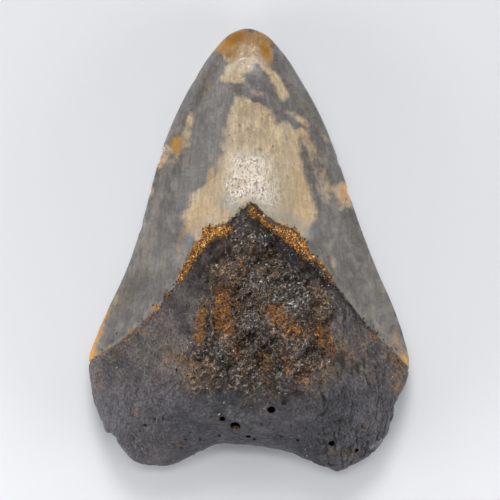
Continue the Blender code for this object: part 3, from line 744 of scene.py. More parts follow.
# %% Rust at the enamel's end and on the root
RUST_BAND = [
    (-17.6, -7.8, -15.6, -5.0, 0.6, 0.9), (-15.6, -5.0, -13.0, -0.6, 0.9, 1.0), (-12.6, 0.2, -9.4, 3.6, 1.2, 1.0),
    (-9.8, 4.0, -6.0, 4.6, 1.5, 1.0), (0.6, 10.0, 1.4, 8.0, 0.9, 0.9), (2.6, 8.2, 5.4, 5.6, 0.8, 1.0),
    (6.6, 4.8, 9.6, 3.7, 1.1, 1.0), (9.4, 3.6, 12.6, 1.0, 1.6, 1.0), (13.0, 0.2, 15.6, -2.2, 0.9, 1.0),
    (17.4, -3.4, 18.4, -5.2, 0.7, 0.9), (19.0, -6.4, 20.4, -7.8, 0.5, 0.9),
]
FAINT_BAND = [
    (-22.4, -14.0, -25.6, -17.6, 0.75, 0.8), (-19.6, -10.8, -20.6, -11.8, 0.6, 0.7),
    (-26.2, -18.2, -37.6, -26.6, 0.65, 0.6), (35.5, -24.8, 38.2, -28.2, 0.9, 0.6), (30.4, -21.4, 35.0, -24.4, 0.5, 0.75),
]
RUST_PATCHES = [
    (-28.2, -38.8, -28.1, -39.8, 0.4, 0.8),
    (-7.4, -9.6, -7.6, -18.6, 1.0, 0.95), (-6.4, -13.4, -5.4, -19.0, 1.8, 1.0), (-6.2, -10.4, -5.6, -12.2, 1.3, 0.8),
    (-2.8, -13.2, -3.0, -15.6, 0.7, 0.7), (-11.8, -14.6, -12.0, -22.2, 1.1, 0.95), (2.3, -10.4, 2.6, -15.4, 0.9, 0.7),
    (5.6, -15.0, 7.2, -17.0, 1.6, 1.0), (8.4, -18.6, 12.6, -20.2, 1.7, 0.75), (16.8, -19.0, 18.0, -23.0, 1.7, 0.7),
    (19.6, -21.4, 21.0, -25.0, 1.4, 0.6), (3.7, -26.6, 4.2, -29.2, 1.0, 0.85), (9.2, -25.6, 9.6, -29.4, 1.4, 0.55),
    (12.2, -31.4, 17.8, -32.6, 1.2, 0.55), (-18.6, -26.4, -14.6, -27.8, 1.8, 0.3), (-4.5, -23.0, -2.6, -26.0, 1.6, 0.4),
    (25.3, -24.8, 25.6, -26.8, 0.8, 0.35),  (-2.2, -4.4, -1.2, -5.0, 0.8, 0.7),
    (-0.4, 0.8, 0.4, 0.2, 0.9, 0.5), (33.0, -23.6, 36.0, -28.0, 1.2, 0.2), (23.5, -45.2, 20.4, -46.0, 0.5, 0.2),
]
GLINTS = [  # where the core is fresh and sparkles
    (1.5, -4.5, 9.0, -5.5, 2.6, 0.5), (1.0, -9.0, 12.0, -11.6, 3.0, 0.9), (-2.0, -16.0, 6.0, -18.0, 2.6, 0.7),
    (-4.0, 2.5, 6.0, 3.0, 2.2, 0.5), (-10.4, -17.6, -9.8, -20.0, 0.6, 1.0), (-4.0, -23.0, 12.0, -24.5, 3.0, 0.35),
    (-12.0, -26.0, 12.0, -30.0, 3.0, 0.2), (9.0, -14.4, 13.4, -12.2, 0.6, 1.0), (-3.0, -4.5, 0.0, -8.0, 2.0, 0.4),
]
DARK_ZONES = [  # smooth and nearly black
    (-5.0, 5.0, 0.2, 7.2, 1.2, 0.5), (1.0, 7.4, 5.6, 3.4, 1.6, 0.8), (5.4, 2.4, 10.6, 0.4, 1.9, 0.85),
    (9.0, -1.0, 14.0, -4.0, 2.4, 0.85), (14.0, -3.0, 19.4, -8.6, 1.2, 1.0), (11.2, -10.8, 14.4, -11.2, 0.9, 1.0),
    (5.6, -8.2, 9.0, -7.4, 0.9, 1.0), (-11.8, 0.2, -5.4, 2.6, 1.2, 0.7), (-10.2, -5.6, -10.2, -11.0, 0.8, 0.95),
    (-10.0, -14.0, -10.2, -19.4, 0.4, 0.6), (-13.0, -4.0, -7.0, 0.0, 3.0, 0.62), (-13.4, -8.0, -8.0, -9.0, 3.2, 0.56), (-17.0, -9.4, -13.6, -11.0, 1.8, 0.5),
    (-21.6, -12.0, -16.4, -14.0, 2.6, 0.5), (-17.4, -14.0, -15.6, -20.0, 2.0, 0.5),
    (6.0, -22.6, 11.4, -25.4, 2.2, 0.45), (9.0, -35.0, 16.0, -38.4, 3.0, 0.34), (19.0, -18.0, 22.0, -30.0, 2.4, 0.36), (-22.6, -16.4, -28.0, -20.6, 0.5, 0.5), (-5.6, 2.6, -4.6, -2.0, 0.8, 0.9),
    (14.0, -14.0, 19.0, -16.0, 2.4, 0.4), (-13.0, -23.0, -7.0, -23.0, 1.8, 0.35), (13.6, -26.0, 13.0, -31.0, 1.6, 0.3),
]
DARK_LINES = [  # narrow and black, along the enamel's end
    (-4.8, 6.0, -0.6, 10.4, 0.4, 0.85), (-0.6, 10.4, 0.0, 11.6, 0.3, 0.7), (-4.4, 7.6, -1.6, 10.2, 0.3, 0.45), (0.9, 11.4, 3.4, 8.2, 0.2, 0.6),
    (15.6, -3.4, 20.2, -8.6, 0.6, 1.0), (20.2, -8.6, 24.6, -14.2, 0.5, 1.0), (24.6, -14.2, 32.0, -21.8, 0.3, 0.85),
    (-12.8, -0.8, -16.6, -6.4, 0.35, 0.7), (-17.6, -8.6, -21.6, -13.4, 0.3, 0.7), (12.6, -0.6, 15.6, -3.4, 0.6, 1.0),
]
# Near the apex the blue-grey is a painted reflection: the halo round the foot of the crown's highlight, where the
# enamel also shines more.
BLUE_GREY_AND_HALO_ZONES = [  # blue-grey enamel, thin above the root
    (-6.2, 12.0, -1.6, 8.6, 1.6, 0.9), (2.6, 11.6, 8.6, 7.4, 1.6, 0.9), (-13.0, 3.6, -8.0, 8.0, 1.2, 0.6),
    (8.6, 8.4, 14.6, 3.6, 2.0, 0.75), (-6.0, 17.0, -1.0, 14.0, 1.2, 0.5), (-14.6, 3.0, -18.0, -2.4, 1.2, 0.5),
    (3.0, 14.0, 8.0, 10.0, 1.6, 0.5),
]
# Where the crown's highlight falls: finely pitted, and painted paler as a painted highlight.
PEEL_AND_HIGHLIGHT_ZONE = [(-2.5, 20.5, 2.5, 20.5, 3.2, 1.0), (-2.5, 15.5, 4.6, 14.5, 4.0, 1.0)]  # finely pitted
PALE_ZONES = [  # worn blue-grey
    (-8.9, -7.4, -8.9, -19.2, 0.4, 0.65), (-4.6, -39.8, 2.6, -43.4, 2.0, 0.45), (8.8, -14.8, 10.6, -14.0, 0.5, 0.9), (10.6, -13.8, 13.6, -12.2, 0.6, 1.0),
    (8.0, -34.6, 9.4, -34.4, 1.0, 0.5), (30.6, -49.2, 33.0, -47.4, 0.9, 0.6), (-27.0, -48.6, -21.4, -51.0, 2.0, 0.4),
    (-38.4, -29.4, -38.2, -34.6, 0.7, 0.5), (0.4, -8.8, 2.0, -9.3, 0.3, 0.7), (5.2, -9.6, 6.4, -8.6, 0.3, 0.7),
    (7.2, -12.8, 9.4, -10.9, 0.35, 0.6), (-1.6, -15.5, 1.2, -16.1, 0.35, 0.6), (-1.4, -18.4, -0.2, -19.2, 0.35, 0.6),
]


# %% Write the fields on the skin's points
def write_field(mesh, name, values):
    """One number a point, which a material reads by name."""
    mesh.attributes.new(name, "FLOAT", "POINT").data.foreach_set("value", values.astype(np.float32))


at = read(skin.vertices, "co", 3) / MM
face = facing(at)
past = past_enamel(at)
near = wandering(at, 0.45, 2.4, 81)
far = wandering(at, 0.8, 4.0, 91)
outer_tan = smoothstep(0.75 + 0.8 * layered(at * (1, 0.5, 1), 16.0, 61) - 0.045 * np.abs(at[:, 0]))
from_chip = np.stack([np.linalg.norm(at - centre, axis=1) - row[2] for centre, row in zip(chip_centres, CHIPS)])
chip_gap = np.abs(from_chip).min(0)
chip_stain = np.array(CHIPS)[:, 5][np.abs(from_chip).argmin(0)] * (past < -6)
aside = [np.linalg.norm(np.cross(at - place, normal), axis=1) for place, normal in zip(hole_places, hole_normals)]
hole_gap = np.min([away / row[2] for away, row in zip(aside, HOLES)], axis=0)
hole_gap = np.where(face > 0.9, hole_gap, 9)
first_hole = np.linalg.norm(at - hole_places[0] - (0.1, -0.3, -0.6), axis=1)
fields = {
    "past_enamel": past,
    "tan": face * tan_amount(near) + (1 - face) * np.maximum(0.8 * outer_tan, capsules(near, TAN_SPOTS[:2], 3.0)),
    "ochre": np.maximum(face, 0.6) * capsules(near, OCHRE_SPOTS, STAIN_SOFT),
    "orange": capsules(near, RIM_ORANGE, STAIN_SOFT),
    "brown": face * capsules(near, BROWN_FILM, 3.4),
    "shaded": face * capsules(near, SHADED_ZONES, 3.0),
    "umber": face * capsules(near, UMBER_ZONES, 3.4),
    "cracks_and_chip_shadow": face * capsules(near, CRACKS_AND_CHIP_SHADOW, 0.5),
    # The tip's crest is painted pale as a painted highlight; the scratches are real pale marks.
    "crest_highlight_and_scratches": face * np.maximum(0.8 * capsules(near, TIP_CREST, 1.6), capsules(at, SCRATCHES, 0.5)),
    # furrow: where the flanks' grooves are, which the material paints dark as their shade
    "furrow": fibre_grooves(at),
    "rust_band": face * np.maximum(capsules(near, RUST_BAND, 1.6), 0.8 * capsules(near, FAINT_BAND, 2.0))
    + (1 - face) * 0.7 * smoothstep(1 - np.abs(past - 0.4) / 1.6),
    "rust_patch": face * np.maximum(capsules(near, RUST_PATCHES, 3.0), smoothstep((1.1 - first_hole) / 0.4)),
    "core": face * capsules(far, WORN_CORE, CORE_SOFT),
    # raised: the core's height, which also paints light on its tops and shade in its hollows
    "raised": np.clip(0.5 + rough_core(at) / 0.9, 0, 1),
    # lumps: the flanks' lumps, which also paint light on their tops and shade between them
    "lumps": np.clip(0.5 + flank_grain(at) / 0.3, 0, 1),
    "glints": face * capsules(near, GLINTS, 3.0),
    "dark": face * np.maximum(capsules(near, DARK_ZONES, 2.4), capsules(near, DARK_LINES, 0.9)),
    "pale": face * capsules(near, PALE_ZONES, 1.3),
    "blue_grey_and_halo": face * capsules(near, BLUE_GREY_AND_HALO_ZONES, 3.0),
    "peel_and_highlight": face * capsules(near, PEEL_AND_HIGHLIGHT_ZONE, 5.0),
    # Darker and bluer towards the root's base; the darker right flank is painted shade.
    "base": np.maximum(
        smoothstep((-31.5 - at[:, 1]) / 6.0) * (0.05 + 0.95 * smoothstep((at[:, 0] + 24.0) / 12.0)),
        0.3 * smoothstep((at[:, 0] - 14.0) / 10.0),
    ),
    "lobe": smoothstep((-26.0 - at[:, 1]) / 12.0),
    "chip": smoothstep((0.12 - chip_gap) / 0.08) * chip_stain,
    "chip_lip": smoothstep((0.5 - chip_gap) / 0.3) * chip_stain,
    # hole: the cut holes and the small pores, painted near black inside as their shade
    "hole": np.maximum(smoothstep((1.2 - hole_gap) / 0.3), face * capsules(at, PORES, 0.45)),
}
for name, values in fields.items():
    write_field(skin, name, values)
    print(f"{name:12} {values.min():7.2f} to {values.max():6.2f}")

# %% [markdown]
# ## The material's helper
# A material is a tree of nodes. Written out, each node takes three or four lines, so this small class adds a node,
# sets its inputs and joins it up in one line. Lengths inside the tree are in mm.

# %% A short way to write node trees
class Tree:
    """A material with one Principled shader, and short ways to add what feeds it."""

    def __init__(self, name):
        self.material = bpy.data.materials.new(name)
        self.material.use_nodes = True
        self.nodes, self.links = self.material.node_tree.nodes, self.material.node_tree.links
        self.shader = self.nodes["Principled BSDF"]
        coordinates = self.nodes.new("ShaderNodeTexCoord").outputs["Object"]
        self.mm = self.vector("SCALE", coordinates, scale=1 / MM)

    def put(self, socket, value):
        """A value or another node's output into a socket. A colour loses its alpha in a vector socket."""
        if isinstance(value, bpy.types.NodeSocket):
            self.links.new(value, socket)
        elif isinstance(value, tuple):
            socket.default_value = value[: len(socket.default_value)]
        elif value is not None:
            socket.default_value = value

    def vector(self, operation, a, b=None, scale=None):
        node = self.nodes.new("ShaderNodeVectorMath")
        node.operation = operation
        self.put(node.inputs[0], a)
        self.put(node.inputs[1], b)
        self.put(node.inputs[3], scale)
        return node.outputs["Vector"]

    def math(self, operation, a, b=None, clamp=False):
        node = self.nodes.new("ShaderNodeMath")
        node.operation, node.use_clamp = operation, clamp
        self.put(node.inputs[0], a)
        self.put(node.inputs[1], b)
        return node.outputs["Value"]

    def field(self, name):
        node = self.nodes.new("ShaderNodeAttribute")
        node.attribute_name = name
        return node.outputs["Fac"]

    def noise(self, size, detail=2.0, stretch=(1, 1, 1), roughness=0.5):
        """Noise with features of about `size` mm, longer along an axis whose stretch is under 1."""
        node = self.nodes.new("ShaderNodeTexNoise")
        self.put(node.inputs["Vector"], self.vector("MULTIPLY", self.mm, stretch))
        node.inputs["Scale"].default_value = 0.5 / size
        node.inputs["Detail"].default_value = detail
        node.inputs["Roughness"].default_value = roughness
        return node.outputs["Fac"]

    def cells(self, size, stretch=(1, 1, 1), feature="F1"):
        """(distance, random colour) of cells about `size` mm wide."""
        node = self.nodes.new("ShaderNodeTexVoronoi")
        node.feature = feature
        self.put(node.inputs["Vector"], self.vector("MULTIPLY", self.mm, stretch))
        node.inputs["Scale"].default_value = 1 / size
        return node.outputs["Distance"], node.outputs["Color"]

    def channel(self, colour):
        """A colour's red, as a number."""
        node = self.nodes.new("ShaderNodeSeparateColor")
        self.put(node.inputs["Color"], colour)
        return node.outputs["Red"]

    def between(self, value, low, high):
        """0 below low, 1 above high, smooth in the middle. high may be under low, to turn it round."""
        node = self.nodes.new("ShaderNodeMapRange")
        node.interpolation_type = "SMOOTHSTEP"
        for socket, number in zip(node.inputs[:3], (value, low, high)):
            self.put(socket, number)
        return node.outputs["Result"]

    def mix(self, share, a, b, blend="MIX"):
        """Colour a where share is 0 and b where it is 1."""
        node = self.nodes.new("ShaderNodeMix")
        node.data_type, node.blend_type = "RGBA", blend
        for socket, value in zip((node.inputs[0], node.inputs[6], node.inputs[7]), (share, a, b)):
            self.put(socket, value)
        return node.outputs[2]

    def blend(self, share, a, b):
        """Number a where share is 0 and b where it is 1."""
        node = self.nodes.new("ShaderNodeMix")
        for socket, value in zip(node.inputs[:4], (share, None, a, b)):
            self.put(socket, value)
        return node.outputs[0]

    def bump(self, height_mm):
        """A height in mm, as a tilt of the surface's normal."""
        node = self.nodes.new("ShaderNodeBump")
        node.inputs["Strength"].default_value = 1.0
        node.inputs["Distance"].default_value = MM
        self.put(node.inputs["Height"], height_mm)
        self.links.new(node.outputs["Normal"], self.shader.inputs["Normal"])


def srgb(red, green, blue):
    """A screen colour, 0 to 255, as the linear colour that a shader takes."""
    share = np.array([red, green, blue]) / 255
    linear = np.where(share <= 0.04045, share / 12.92, ((share + 0.055) / 1.055) ** 2.4)
    return (*(float(part) for part in linear), 1.0)


# %% [markdown]
# ## Enamel and root in one material
# The crown's enamel is hard and shines: clouded grey, tan with fine streaks along the tooth and dark pits, ochre
# where iron soaked in, and a cool pale fringe where it thins out at its end. Near the apex that fringe is a painted
# reflection of the highlight's halo. A painted highlight makes the enamel paler where the crown's highlight falls
# and along the tip's crest. The root is dull, dark and grainy, with rust in its hollows and flecks that glint.
# Some of the flecks are painted glints. Painted light and shade make its grit and lumps lighter on top and darker
# between, and make its grooves, holes and pores near black. One material does both and changes over at the
# enamel's end, because the two finishes meet in a ragged line and not along a seam of the mesh.

# %% The masks
tree = Tree("fossil_enamel_and_root")
speckle = tree.noise(0.25, detail=2)
fine_noise = tree.noise(0.45, detail=3)
mid_noise = tree.noise(1.5, detail=3)
cloud_noise = tree.noise(5.0, detail=3, stretch=(1, 0.55, 1))
streak_noise = tree.noise(0.32, detail=2, stretch=(1, 0.05, 1))
dash_noise = tree.noise(0.32, detail=1, stretch=(1, 0.3, 1))


def frayed(field, by_mid, by_fine, low, high):
    """A field's share, with its edge moved to and fro by the noises."""
    shift = tree.math("ADD", tree.math("MULTIPLY", mid_noise, by_mid), tree.math("MULTIPLY", fine_noise, by_fine))
    return tree.between(tree.math("ADD", field, tree.math("SUBTRACT", shift, (by_mid + by_fine) / 2)), low, high)


def varied(colour, noise, amount):
    """A colour made darker and lighter by a noise: times 1 - amount to 1 + amount."""
    share = tree.between(noise, 0.3, 0.7)
    return tree.vector("SCALE", colour, scale=tree.math("ADD", tree.math("MULTIPLY", share, 2 * amount), 1 - amount))


root = frayed(tree.field("past_enamel"), 1.0, 0.8, -0.2, 0.2)
tan = frayed(tree.field("tan"), 0.7, 0.45, 0.18, 0.84)
brown = frayed(tree.field("brown"), 0.8, 0.3, 0.0, 0.9)
ochre = frayed(tree.field("ochre"), 0.6, 0.3, 0.12, 0.95)
orange = frayed(tree.field("orange"), 0.5, 0.2, 0.15, 0.9)
rust_band = frayed(tree.field("rust_band"), 0.6, 1.0, 0.35, 0.6)
rust_patch = frayed(tree.field("rust_patch"), 0.8, 1.0, 0.25, 0.85)
umber = frayed(tree.field("umber"), 0.8, 1.2, 0.15, 0.9)
core = frayed(tree.field("core"), 0.6, 0.5, 0.05, 0.8)
dark = frayed(tree.field("dark"), 0.6, 0.4, 0.2, 0.8)
pale = frayed(tree.field("pale"), 0.5, 0.5, 0.25, 0.8)
blue_grey_and_halo = frayed(tree.field("blue_grey_and_halo"), 0.4, 0.3, 0.1, 0.9)
peel_noise = tree.noise(0.2, detail=2, stretch=(1, 0.5, 1))

# %% Enamel colour
grey = tree.mix(tree.between(cloud_noise, 0.32, 0.68), srgb(90, 87, 85), srgb(118, 114, 110))
grey = tree.mix(tree.between(mid_noise, 0.5, 0.75), grey, srgb(127, 119, 108))
grey = varied(varied(varied(varied(grey, streak_noise, 0.18), fine_noise, 0.12), mid_noise, 0.06), speckle, 0.12)
tan_colour = tree.mix(tree.between(cloud_noise, 0.35, 0.65), srgb(180, 155, 119), srgb(191, 171, 140))
tan_colour = varied(varied(varied(tan_colour, streak_noise, 0.18), speckle, 0.13), mid_noise, 0.07)
smudge_noise = tree.noise(1.3, detail=3, stretch=(1, 0.14, 1))
smudges = tree.math("MULTIPLY", tree.between(smudge_noise, 0.5, 0.68), 0.45)
tan_colour = tree.mix(smudges, tan_colour, srgb(146, 132, 112))
grey = tree.mix(smudges, grey, srgb(84, 80, 78))
dashes = tree.math("MULTIPLY", tree.between(dash_noise, 0.64, 0.72), tree.between(cloud_noise, 0.4, 0.6))
tan_colour = tree.mix(tree.math("MULTIPLY", dashes, 0.75), tan_colour, srgb(104, 88, 70))
enamel = tree.mix(tan, grey, tan_colour)
ochre_colour = tree.mix(tree.between(mid_noise, 0.35, 0.65), srgb(182, 130, 50), srgb(166, 122, 60))
enamel = tree.mix(tree.math("MULTIPLY", ochre, 0.9), enamel, ochre_colour)
# The cool pale fringe at the enamel's end; near the apex it is a painted reflection of the highlight's halo.
fringe = tree.math("MAXIMUM", tree.math("MULTIPLY", tree.between(tree.field("past_enamel"), -1.6, -0.2), 0.4), blue_grey_and_halo)
enamel = tree.mix(tree.math("MULTIPLY", fringe, 0.6), enamel, varied(srgb(140, 141, 136), fine_noise, 0.10))
# Painted highlight: the enamel is made paler where the crown's highlight falls.
enamel = tree.mix(tree.math("MULTIPLY", tree.field("peel_and_highlight"), 0.35), enamel, srgb(222, 212, 196))
pits = tree.math("MULTIPLY", tree.between(peel_noise, 0.53, 0.6), tree.field("peel_and_highlight"))
enamel = tree.mix(tree.math("MULTIPLY", pits, 0.72), enamel, srgb(112, 92, 70))
enamel = tree.mix(tree.math("MULTIPLY", brown, 0.8), enamel, tree.vector("MULTIPLY", enamel, (0.62, 0.52, 0.36)))
enamel = tree.mix(tree.field("shaded"), enamel, tree.vector("SCALE", enamel, scale=0.7))
enamel = tree.mix(orange, enamel, srgb(200, 144, 72))
chip_colour = tree.mix(tree.between(mid_noise, 0.4, 0.6), srgb(182, 138, 88), srgb(184, 152, 120))
enamel = tree.mix(tree.math("MULTIPLY", tree.field("chip_lip"), 0.5), enamel, srgb(178, 164, 148))
enamel = tree.mix(tree.field("chip"), enamel, chip_colour)
# Dark cracks, and a painted shadow along the edge of the right chip.
enamel = tree.mix(tree.math("MULTIPLY", tree.field("cracks_and_chip_shadow"), 0.8), enamel, srgb(84, 70, 56))

# %% Root colour
flank_colour = tree.mix(tree.between(cloud_noise, 0.38, 0.62), srgb(76, 70, 70), srgb(101, 92, 88))
flank_colour = tree.mix(tree.between(mid_noise, 0.5, 0.7), flank_colour, srgb(90, 86, 80))
# The root's base is darker and bluer, and the right flank gets painted shade, both through the base field.
base_colour = tree.mix(tree.between(cloud_noise, 0.4, 0.6), srgb(67, 67, 71), srgb(80, 78, 82))
flank_colour = tree.mix(tree.field("lobe"), flank_colour, srgb(84, 81, 85))
flank_colour = tree.mix(tree.field("base"), flank_colour, base_colour)
flank_colour = varied(varied(flank_colour, fine_noise, 0.17), mid_noise, 0.16)
flank_colour = tree.mix(tree.field("lobe"), varied(flank_colour, speckle, 0.42), varied(flank_colour, speckle, 0.24))
# Painted light and shade on the flanks' lumps: lighter where they stand up, darker between them.
lumps = tree.math("ADD", tree.math("MULTIPLY", tree.field("lumps"), 0.56), 0.72)
flank_colour = tree.vector("SCALE", flank_colour, scale=lumps)
# Painted shade between the leathery cells of the flanks: the colour darkens towards each cell's edge.
leather = tree.cells(0.55, stretch=(1, 0.75, 1))[0]
painted_leather_shade = tree.math("SUBTRACT", 1.12, tree.math("MULTIPLY", tree.between(leather, 0.25, 0.75), 0.3))
flank_colour = tree.vector("SCALE", flank_colour, scale=painted_leather_shade)
# Painted shade in the fibre grooves of the flanks: near black along the furrows of the relief.
furrow = frayed(tree.field("furrow"), 0.3, 0.3, 0.1, 0.9)
flank_colour = tree.mix(tree.math("MULTIPLY", furrow, 0.9), flank_colour, srgb(42, 37, 38))
core_colour = tree.mix(tree.between(cloud_noise, 0.4, 0.6), srgb(41, 35, 33), srgb(77, 57, 42))
core_colour = tree.mix(tree.between(fine_noise, 0.52, 0.66), core_colour, srgb(106, 85, 62))
core_colour = varied(varied(core_colour, speckle, 0.88), fine_noise, 0.45)
# Painted light and shade on the worn core: its colour is lighter on the raised grit and darker in the hollows.
raised = tree.between(tree.field("raised"), 0.2, 0.8)
core_colour = tree.vector("SCALE", core_colour, scale=tree.math("ADD", tree.math("MULTIPLY", raised, 1.0), 0.42))
# Painted shade: small pores in the flanks, as near-black dots.
pore_distance, pore_pick = tree.cells(1.7)
pore_size = tree.math("MULTIPLY", tree.between(tree.channel(pore_pick), 0.4, 1.0), 0.17)
pores = tree.math("LESS_THAN", pore_distance, pore_size)
pores = tree.math("MULTIPLY", pores, tree.blend(tree.field("base"), 0.3, 0.8))
flank_colour = tree.mix(pores, flank_colour, srgb(30, 28, 29))
umber_colour = tree.mix(tree.between(fine_noise, 0.42, 0.6), srgb(80, 66, 54), srgb(124, 101, 74))
flank_colour = tree.mix(tree.math("MULTIPLY", umber, 0.8), flank_colour, umber_colour)
root_colour = tree.mix(core, flank_colour, core_colour)
root_colour = tree.mix(pale, root_colour, varied(srgb(116, 114, 116), speckle, 0.4))
# Painted shade: the cut holes and the small pores are near black inside.
root_colour = tree.mix(tree.between(tree.field("hole"), 0.2, 0.8), root_colour, srgb(16, 12, 10))
rust_colour = tree.mix(tree.between(fine_noise, 0.4, 0.62), srgb(60, 38, 20), srgb(176, 118, 52))
rust_colour = tree.mix(tree.between(mid_noise, 0.4, 0.7), rust_colour, srgb(140, 90, 40))
# Painted light and shade: the rust is lighter on the raised grit and darker in its hollows.
rust_relief_shade = tree.math("ADD", tree.math("MULTIPLY", raised, 0.75), 0.6)
rust_colour = tree.vector("SCALE", rust_colour, scale=rust_relief_shade)
patch_colour = tree.mix(0.3, rust_colour, srgb(158, 122, 80))
root_colour = tree.mix(tree.math("MULTIPLY", rust_patch, 0.85), root_colour, patch_colour)
# Painted glints: pale dashes on the worn core where it sparkles.
painted_glints = tree.math("MULTIPLY", tree.between(dash_noise, 0.62, 0.70), tree.field("glints"))
root_colour = tree.mix(tree.math("MULTIPLY", painted_glints, 0.5), root_colour, srgb(150, 144, 136))

# %% Colour, roughness and bump into the shader
surface_colour = tree.mix(root, enamel, root_colour)
# Painted highlight along the tip's crest, and the pale scratches.
surface_colour = tree.mix(tree.math("MULTIPLY", tree.field("crest_highlight_and_scratches"), 0.85), surface_colour, srgb(208, 196, 178))
surface_colour = tree.mix(tree.math("MULTIPLY", dark, 0.9), surface_colour, varied(srgb(30, 24, 25), speckle, 0.5))
surface_colour = tree.mix(rust_band, surface_colour, rust_colour)
tree.links.new(surface_colour, tree.shader.inputs["Base Color"])
enamel_roughness = tree.blend(tree.between(mid_noise, 0.4, 0.6), 0.22, 0.32)
enamel_roughness = tree.blend(tree.between(tree.field("past_enamel"), -0.9, -0.2), enamel_roughness, 0.6)
core_roughness = tree.blend(raised, 0.45, 0.2)
root_roughness = tree.blend(dark, tree.blend(core, 0.5, core_roughness), 0.3)
root_roughness = tree.blend(tree.field("hole"), root_roughness, 0.9)
root_shine = tree.blend(core, 0.14, tree.blend(raised, 0.02, 0.34))
root_shine = tree.blend(dark, root_shine, tree.blend(raised, 0.03, 0.2))
root_shine = tree.blend(rust_patch, root_shine, 0.05)
root_shine = tree.blend(tree.field("hole"), root_shine, 0.0)
enamel_shine = tree.blend(tree.math("MAXIMUM", tree.field("peel_and_highlight"), tree.field("blue_grey_and_halo")), 0.54, 1.0)
enamel_shine = tree.blend(tree.math("MAXIMUM", brown, ochre), enamel_shine, 0.25)
enamel_shine = tree.blend(tree.field("chip"), enamel_shine, 0.1)
enamel_shine = tree.blend(pits, enamel_shine, 0.25)
enamel_shine = tree.blend(tree.between(tree.field("past_enamel"), -2.4, -0.6), enamel_shine, 0.2)
shine = tree.blend(rust_band, tree.blend(root, enamel_shine, root_shine), 0.1)
tree.links.new(shine, tree.shader.inputs["Specular IOR Level"])
tree.links.new(tree.blend(root, enamel_roughness, root_roughness), tree.shader.inputs["Roughness"])
enamel_height = tree.math("ADD", tree.math("MULTIPLY", streak_noise, 0.02), tree.math("MULTIPLY", fine_noise, 0.03))
peel_distance = tree.math("ADD", peel_noise, tree.cells(0.42, stretch=(1, 0.75, 1))[0])
peel_height = tree.math("MULTIPLY", tree.math("MULTIPLY", peel_distance, tree.field("peel_and_highlight")), -0.046)
enamel_height = tree.math("ADD", enamel_height, peel_height)
enamel_height = tree.math("SUBTRACT", enamel_height, tree.math("MULTIPLY", dashes, 0.03))
core_height = tree.math("ADD", tree.math("MULTIPLY", speckle, 0.2), tree.math("MULTIPLY", fine_noise, 0.5))
flank_height = tree.math("ADD", tree.math("MULTIPLY", leather, -0.2), tree.math("MULTIPLY", fine_noise, 0.75))
tree.bump(tree.blend(root, enamel_height, tree.blend(core, flank_height, core_height)))
tree.shader.inputs["IOR"].default_value = 1.8
skin.materials.clear()
skin.materials.append(tree.material)
print("nodes in the tooth's material:", len(tree.nodes))

# %% [markdown]
# ## Grains
# At the enamel's end, rust has glued down sand: orange, brown and pale grains under a millimetre wide. Smaller dark
# and clear ones sit in the worn core and make it glint. A few hundred vertices each would be wasted on them,
# so every grain is one coarse ball, shaken into a lump, turned at random and half sunk into the skin.

# %% Places on the skin, by chance
def scatter(count, density, rng):
    """Triangles are drawn with a chance of area times density. Two random shares then place a point in each."""
    corners = read(skin.loop_triangles, "vertices", 3).astype(int)
    a, b, c = (at[corners[:, side]] for side in range(3))
    face_normal = np.cross(b - a, c - a)
    size = np.linalg.norm(face_normal, axis=1)
    chance = size * density[corners].mean(1)
    drawn = rng.choice(len(corners), count, p=chance / chance.sum())
    share = np.sqrt(rng.random(count))[:, None]
    other = rng.random(count)[:, None]
    place = (1 - share) * a[drawn] + share * (1 - other) * b[drawn] + share * other * c[drawn]
    return place, face_normal[drawn] / size[drawn, None], density[corners].mean(1)[drawn]


def turns(count, wildness, lean, rng):
    """Turns about +Z by `lean`, shaken: unit quaternions (w, x, y, z), written out as 3 by 3 matrices."""
    leaning = np.array([math.cos(lean / 2), 0, 0, math.sin(lean / 2)])[:, None]
    shaken = leaning + wildness * rng.normal(size=(4, count))
    w, x, y, z = shaken / np.linalg.norm(shaken, axis=0)
    return np.stack([
        1 - 2 * (y * y + z * z), 2 * (x * y - w * z), 2 * (x * z + w * y),
        2 * (x * y + w * z), 1 - 2 * (x * x + z * z), 2 * (y * z - w * x),
        2 * (x * z - w * y), 2 * (y * z + w * x), 1 - 2 * (x * x + y * y),
    ], axis=-1).reshape(count, 3, 3)


# %% Grains as one mesh
GRAIN_RINGS, GRAIN_SIDES = 4, 6
grain_points, grain_faces = ball(GRAIN_RINGS, GRAIN_SIDES)


def grains(name, count, density, radii, shape, wildness, sunk, material, seed, fading=0.0):
    """count lumps: the ball's points times random radii, shaken, turned, and moved to their place on the skin.

    Where few grains lie, the share `fading` of their tint is lost, so that they are darker.
    """
    rng = np.random.default_rng(seed)
    place, normal, here = scatter(count, density, rng)
    radius = radii[0] * (radii[1] / radii[0]) ** rng.random(count)
    shaken = grain_points * rng.uniform(0.65, 1.3, (count, len(grain_points), 1))
    shaped = shaken * shape * rng.uniform(0.75, 1.25, (count, 1, 3)) * radius[:, None, None]
    lumps = np.einsum("nij,npj->npi", turns(count, wildness, STREAK_ANGLE, rng), shaped)
    lumps += (place + normal * (radius * min(shape) * (1 - sunk))[:, None])[:, None, :]
    steps = np.arange(count)[:, None, None] * len(grain_points)
    faces = np.where(grain_faces >= 0, grain_faces + steps, -1).reshape(-1, 4)
    mesh = mesh_from_arrays(name, lumps.reshape(-1, 3) * MM, faces)
    tint = rng.random(count) * (1 - fading * (1 - np.minimum(2.2 * here, 1)))
    write_field(mesh, "tint", np.repeat(tint, len(grain_points)))
    mesh.materials.append(material)
    print(name, ":", count, "grains,", len(mesh.polygons), "faces")
    return new_object(name, mesh)


